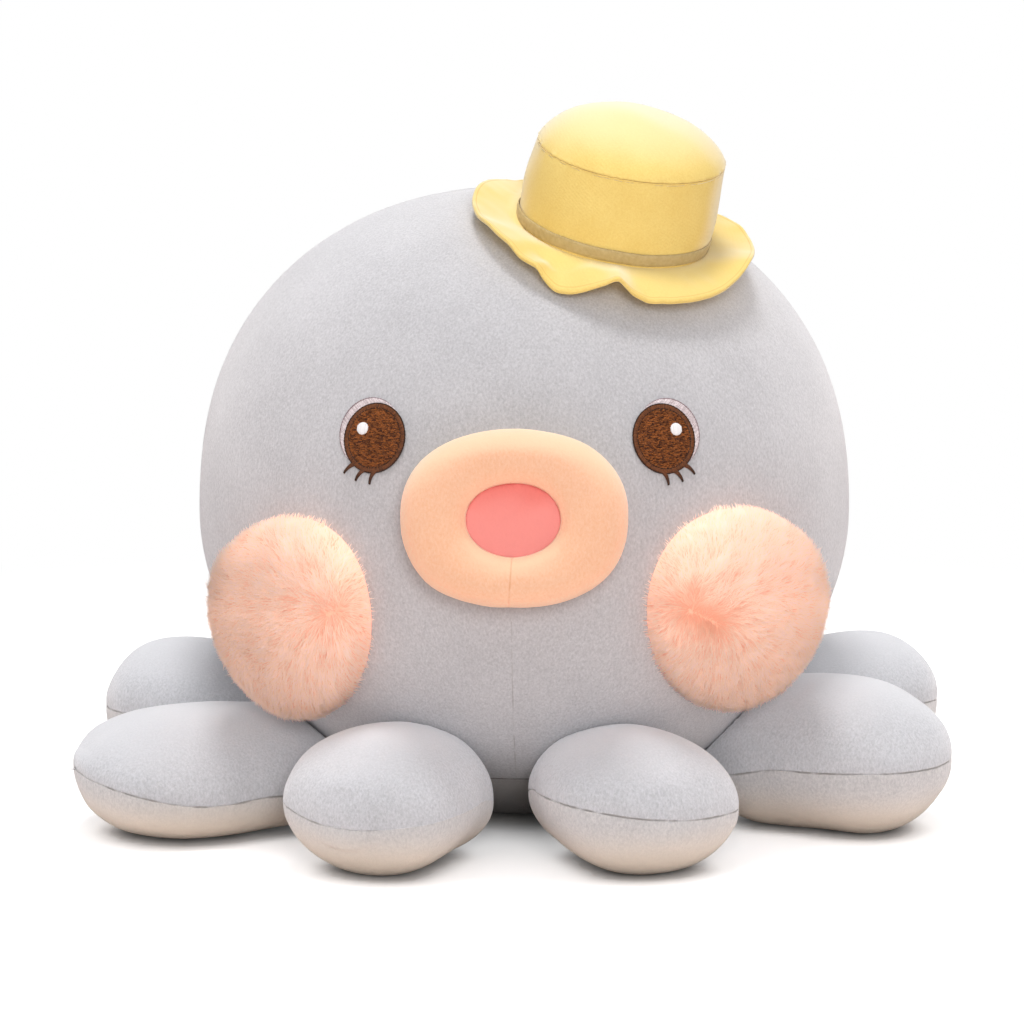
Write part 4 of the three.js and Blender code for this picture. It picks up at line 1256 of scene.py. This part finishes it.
# Studio: a pale paper floor that runs out white, a soft lamp overhead and one at the front, weaker
# ones from the sides and the back, and the camera a little above the height of the toy's face.
floor_near = 0.42
floor_far = np.array([0.6, 1.0, 1.8, 3.4, 6.0])
floor_drop = 0.0003
resting_below = 0.004
open_most = 0.1
# how far from the toy's middle the paper starts to run out white, and where it has
white_from, white_at = 0.33, 0.75
# the base lies deep between the arms, so its shadow reaches further by this share
under_base = 0.26
plain_white = "#ffffff"
room_light = 0.38
lamp_aim = (0, 0, 0.15)
# each lamp: place, side of its square, power in watts and colour
lamps = [
    ("top_softbox", (-0.03, -0.25, 1.9), 0.45, 14.4, (1.0, 0.99, 0.98)),
    ("upper_fill", (-0.1, -1.1, 1.6), 1.2, 2.2, (1.0, 1.0, 1.0)),
    ("front_softbox", (0.3, -2.2, 0.9), 0.7, 21.2, (1.0, 1.0, 1.0)),
    ("left_fill", (-1.8, -0.3, 0.4), 0.9, 1.5, (1.0, 1.0, 1.0)),
    ("back_right_rim", (1.3, 0.9, 0.9), 0.9, 4.2, (1.0, 0.96, 0.92)),
    ("back_left_rim", (-1.3, 0.9, 0.9), 0.9, 2.4, (1.0, 0.96, 0.92)),
]
camera_turn = math.radians(2.3)
camera_tilt = math.radians(8.6)
camera_distance = 1.8
camera_sensor = 36
camera_lens = 135.0
# how far the camera looks past the ball's middle, to its left and below it
aim_left = 0.00562
aim_below = 0.00469


def resting_points(names):
    """Search tree of the points of these pieces that rest on the floor."""
    meshes = [bpy.data.objects[name].data for name in names]
    points = np.concatenate([read_vectors(mesh.vertices, "co") for mesh in meshes])
    points = points[points[:, 2] < resting_below]
    tree = kdtree.KDTree(len(points))
    for number, point in enumerate(points):
        tree.insert(point, number)
    tree.balance()
    return tree


def floor_open():
    """Level sheet with a fine middle. Its open fact tells how far each point is from the cloth that
    rests on the floor, in metres, with the base drawn nearer by its share."""
    middle = np.linspace(-floor_near, floor_near, 141)
    steps = np.concatenate([-floor_far[::-1], middle, floor_far])
    x, y = np.meshgrid(steps, steps, indexing="ij")
    points = np.stack([x, y, 0 * x], -1).reshape(-1, 3)
    arms = resting_points(f"arm_{arm}_bottom" for arm, *_ in arm_places)
    base = resting_points(["body_base"])
    clear = [
        min(arms.find(point)[2], under_base * base.find(point)[2], open_most)
        if np.abs(point).max() < 0.5
        else open_most
        for point in points
    ]
    number = np.arange(len(points)).reshape(x.shape)
    faces = [number[:-1, :-1], number[1:, :-1], number[1:, 1:], number[:-1, 1:]]
    faces = np.stack(faces, -1).reshape(-1, 4)
    return mesh_piece("floor", points - [0, 0, floor_drop], faces, {"open": clear})


def paper_floor():
    """Matt white paper, overexposed as on a light table: the toy's shadow shows close to where it
    rests, with a painted contact shadow, as the paper is drawn darker and glows less there, and the
    rest is plain white. Light that bounces off it is warm, as off cream boards, and painted darker
    near the toy."""
    look = Look("matt_white_paper")
    clear = look.fact("open")
    # painted contact shadow: darker paper within 6 mm of the resting cloth
    paper = look.blend(look.fade(clear, 0, 0.006, smooth=False), "#a39d98", "#fbfafa")
    lit = look.add("BsdfDiffuse", {"Color": paper}).outputs[0]
    # a glow that is weakest at the resting cloth, so the painted shadow shows there
    painted_shadow_glow = look.fade(clear, -0.001, 0.014, 0, 0.45)
    painted_shadow_tail = look.fade(clear, 0.012, 0.055, 0, 0.14, smooth=False)
    strength = look.work_out("ADD", painted_shadow_glow, painted_shadow_tail)
    glow = look.add("Emission", {"Color": plain_white, "Strength": strength}).outputs[0]
    near = look.add("AddShader", {0: lit, 1: glow}).outputs[0]
    away = look.add("VectorMath", {0: look.place()}, operation="LENGTH").outputs["Value"]
    gone = look.fade(away, white_from, white_at)
    white = look.add("Emission", {"Color": plain_white, "Strength": 1.0}).outputs[0]
    shown = look.add("MixShader", {0: gone, 1: near, 2: white}).outputs[0]
    # painted shade in the bounce light near the toy
    bounce_painted_shade = look.blend(look.fade(clear, 0, 0.04, smooth=False), "#857c77", "#f3e6e0")
    bounce = look.add("BsdfDiffuse", {"Color": bounce_painted_shade}).outputs[0]
    ray = look.add("LightPath").outputs
    seen = look.work_out("MAXIMUM", ray["Is Camera Ray"], ray["Is Glossy Ray"])
    surface = look.add("MixShader", {0: seen, 1: bounce, 2: shown}).outputs[0]
    look.add("OutputMaterial", {"Surface": surface})
    return look.owner


def soft_lamp(name, at, size, power, colour):
    """Square soft lamp at a place, turned to face the toy."""
    data = bpy.data.lights.new(name, "AREA")
    data.shape = "SQUARE"
    data.size = size
    data.energy = power
    data.color = colour
    lamp = bpy.data.objects.new(name, data)
    bpy.context.scene.collection.objects.link(lamp)
    lamp.location = at
    direction = Vector(lamp_aim) - lamp.location
    lamp.rotation_euler = direction.to_track_quat("-Z", "Y").to_euler()


floor = floor_open()
floor.data.materials.append(paper_floor())
for lamp in lamps:
    soft_lamp(*lamp)

room = Look("studio_room", "worlds")
dim = room.add("Background", {"Color": (0.98, 0.98, 1.0, 1), "Strength": room_light}).outputs[0]
wall = room.add("Background", {"Color": plain_white, "Strength": 1.0}).outputs[0]
seen = room.add("LightPath").outputs["Is Camera Ray"]
room.add("OutputWorld", {"Surface": room.add("MixShader", {0: seen, 1: dim, 2: wall}).outputs[0]})
bpy.context.scene.world = room.owner

view_right = np.array([math.cos(camera_turn), math.sin(camera_turn), 0.0])
level_ahead = np.array([-math.sin(camera_turn), math.cos(camera_turn), 0.0])
view_ahead = level_ahead * math.cos(camera_tilt) - np.array([0, 0, math.sin(camera_tilt)])
view_up = np.cross(view_right, view_ahead)
camera_data = bpy.data.cameras.new("camera")
camera_data.sensor_width = camera_sensor
camera_data.lens = camera_lens
camera_data.clip_start = 0.01
camera_data.clip_end = 50
camera = bpy.data.objects.new("camera", camera_data)
bpy.context.scene.collection.objects.link(camera)
camera_aim = ball_centre - aim_left * view_right - aim_below * view_up
camera.location = camera_aim - camera_distance * view_ahead
camera.rotation_euler = Vector(view_ahead).to_track_quat("-Z", "Y").to_euler()
bpy.context.scene.camera = camera
bpy.context.scene.view_settings.view_transform = "Standard"
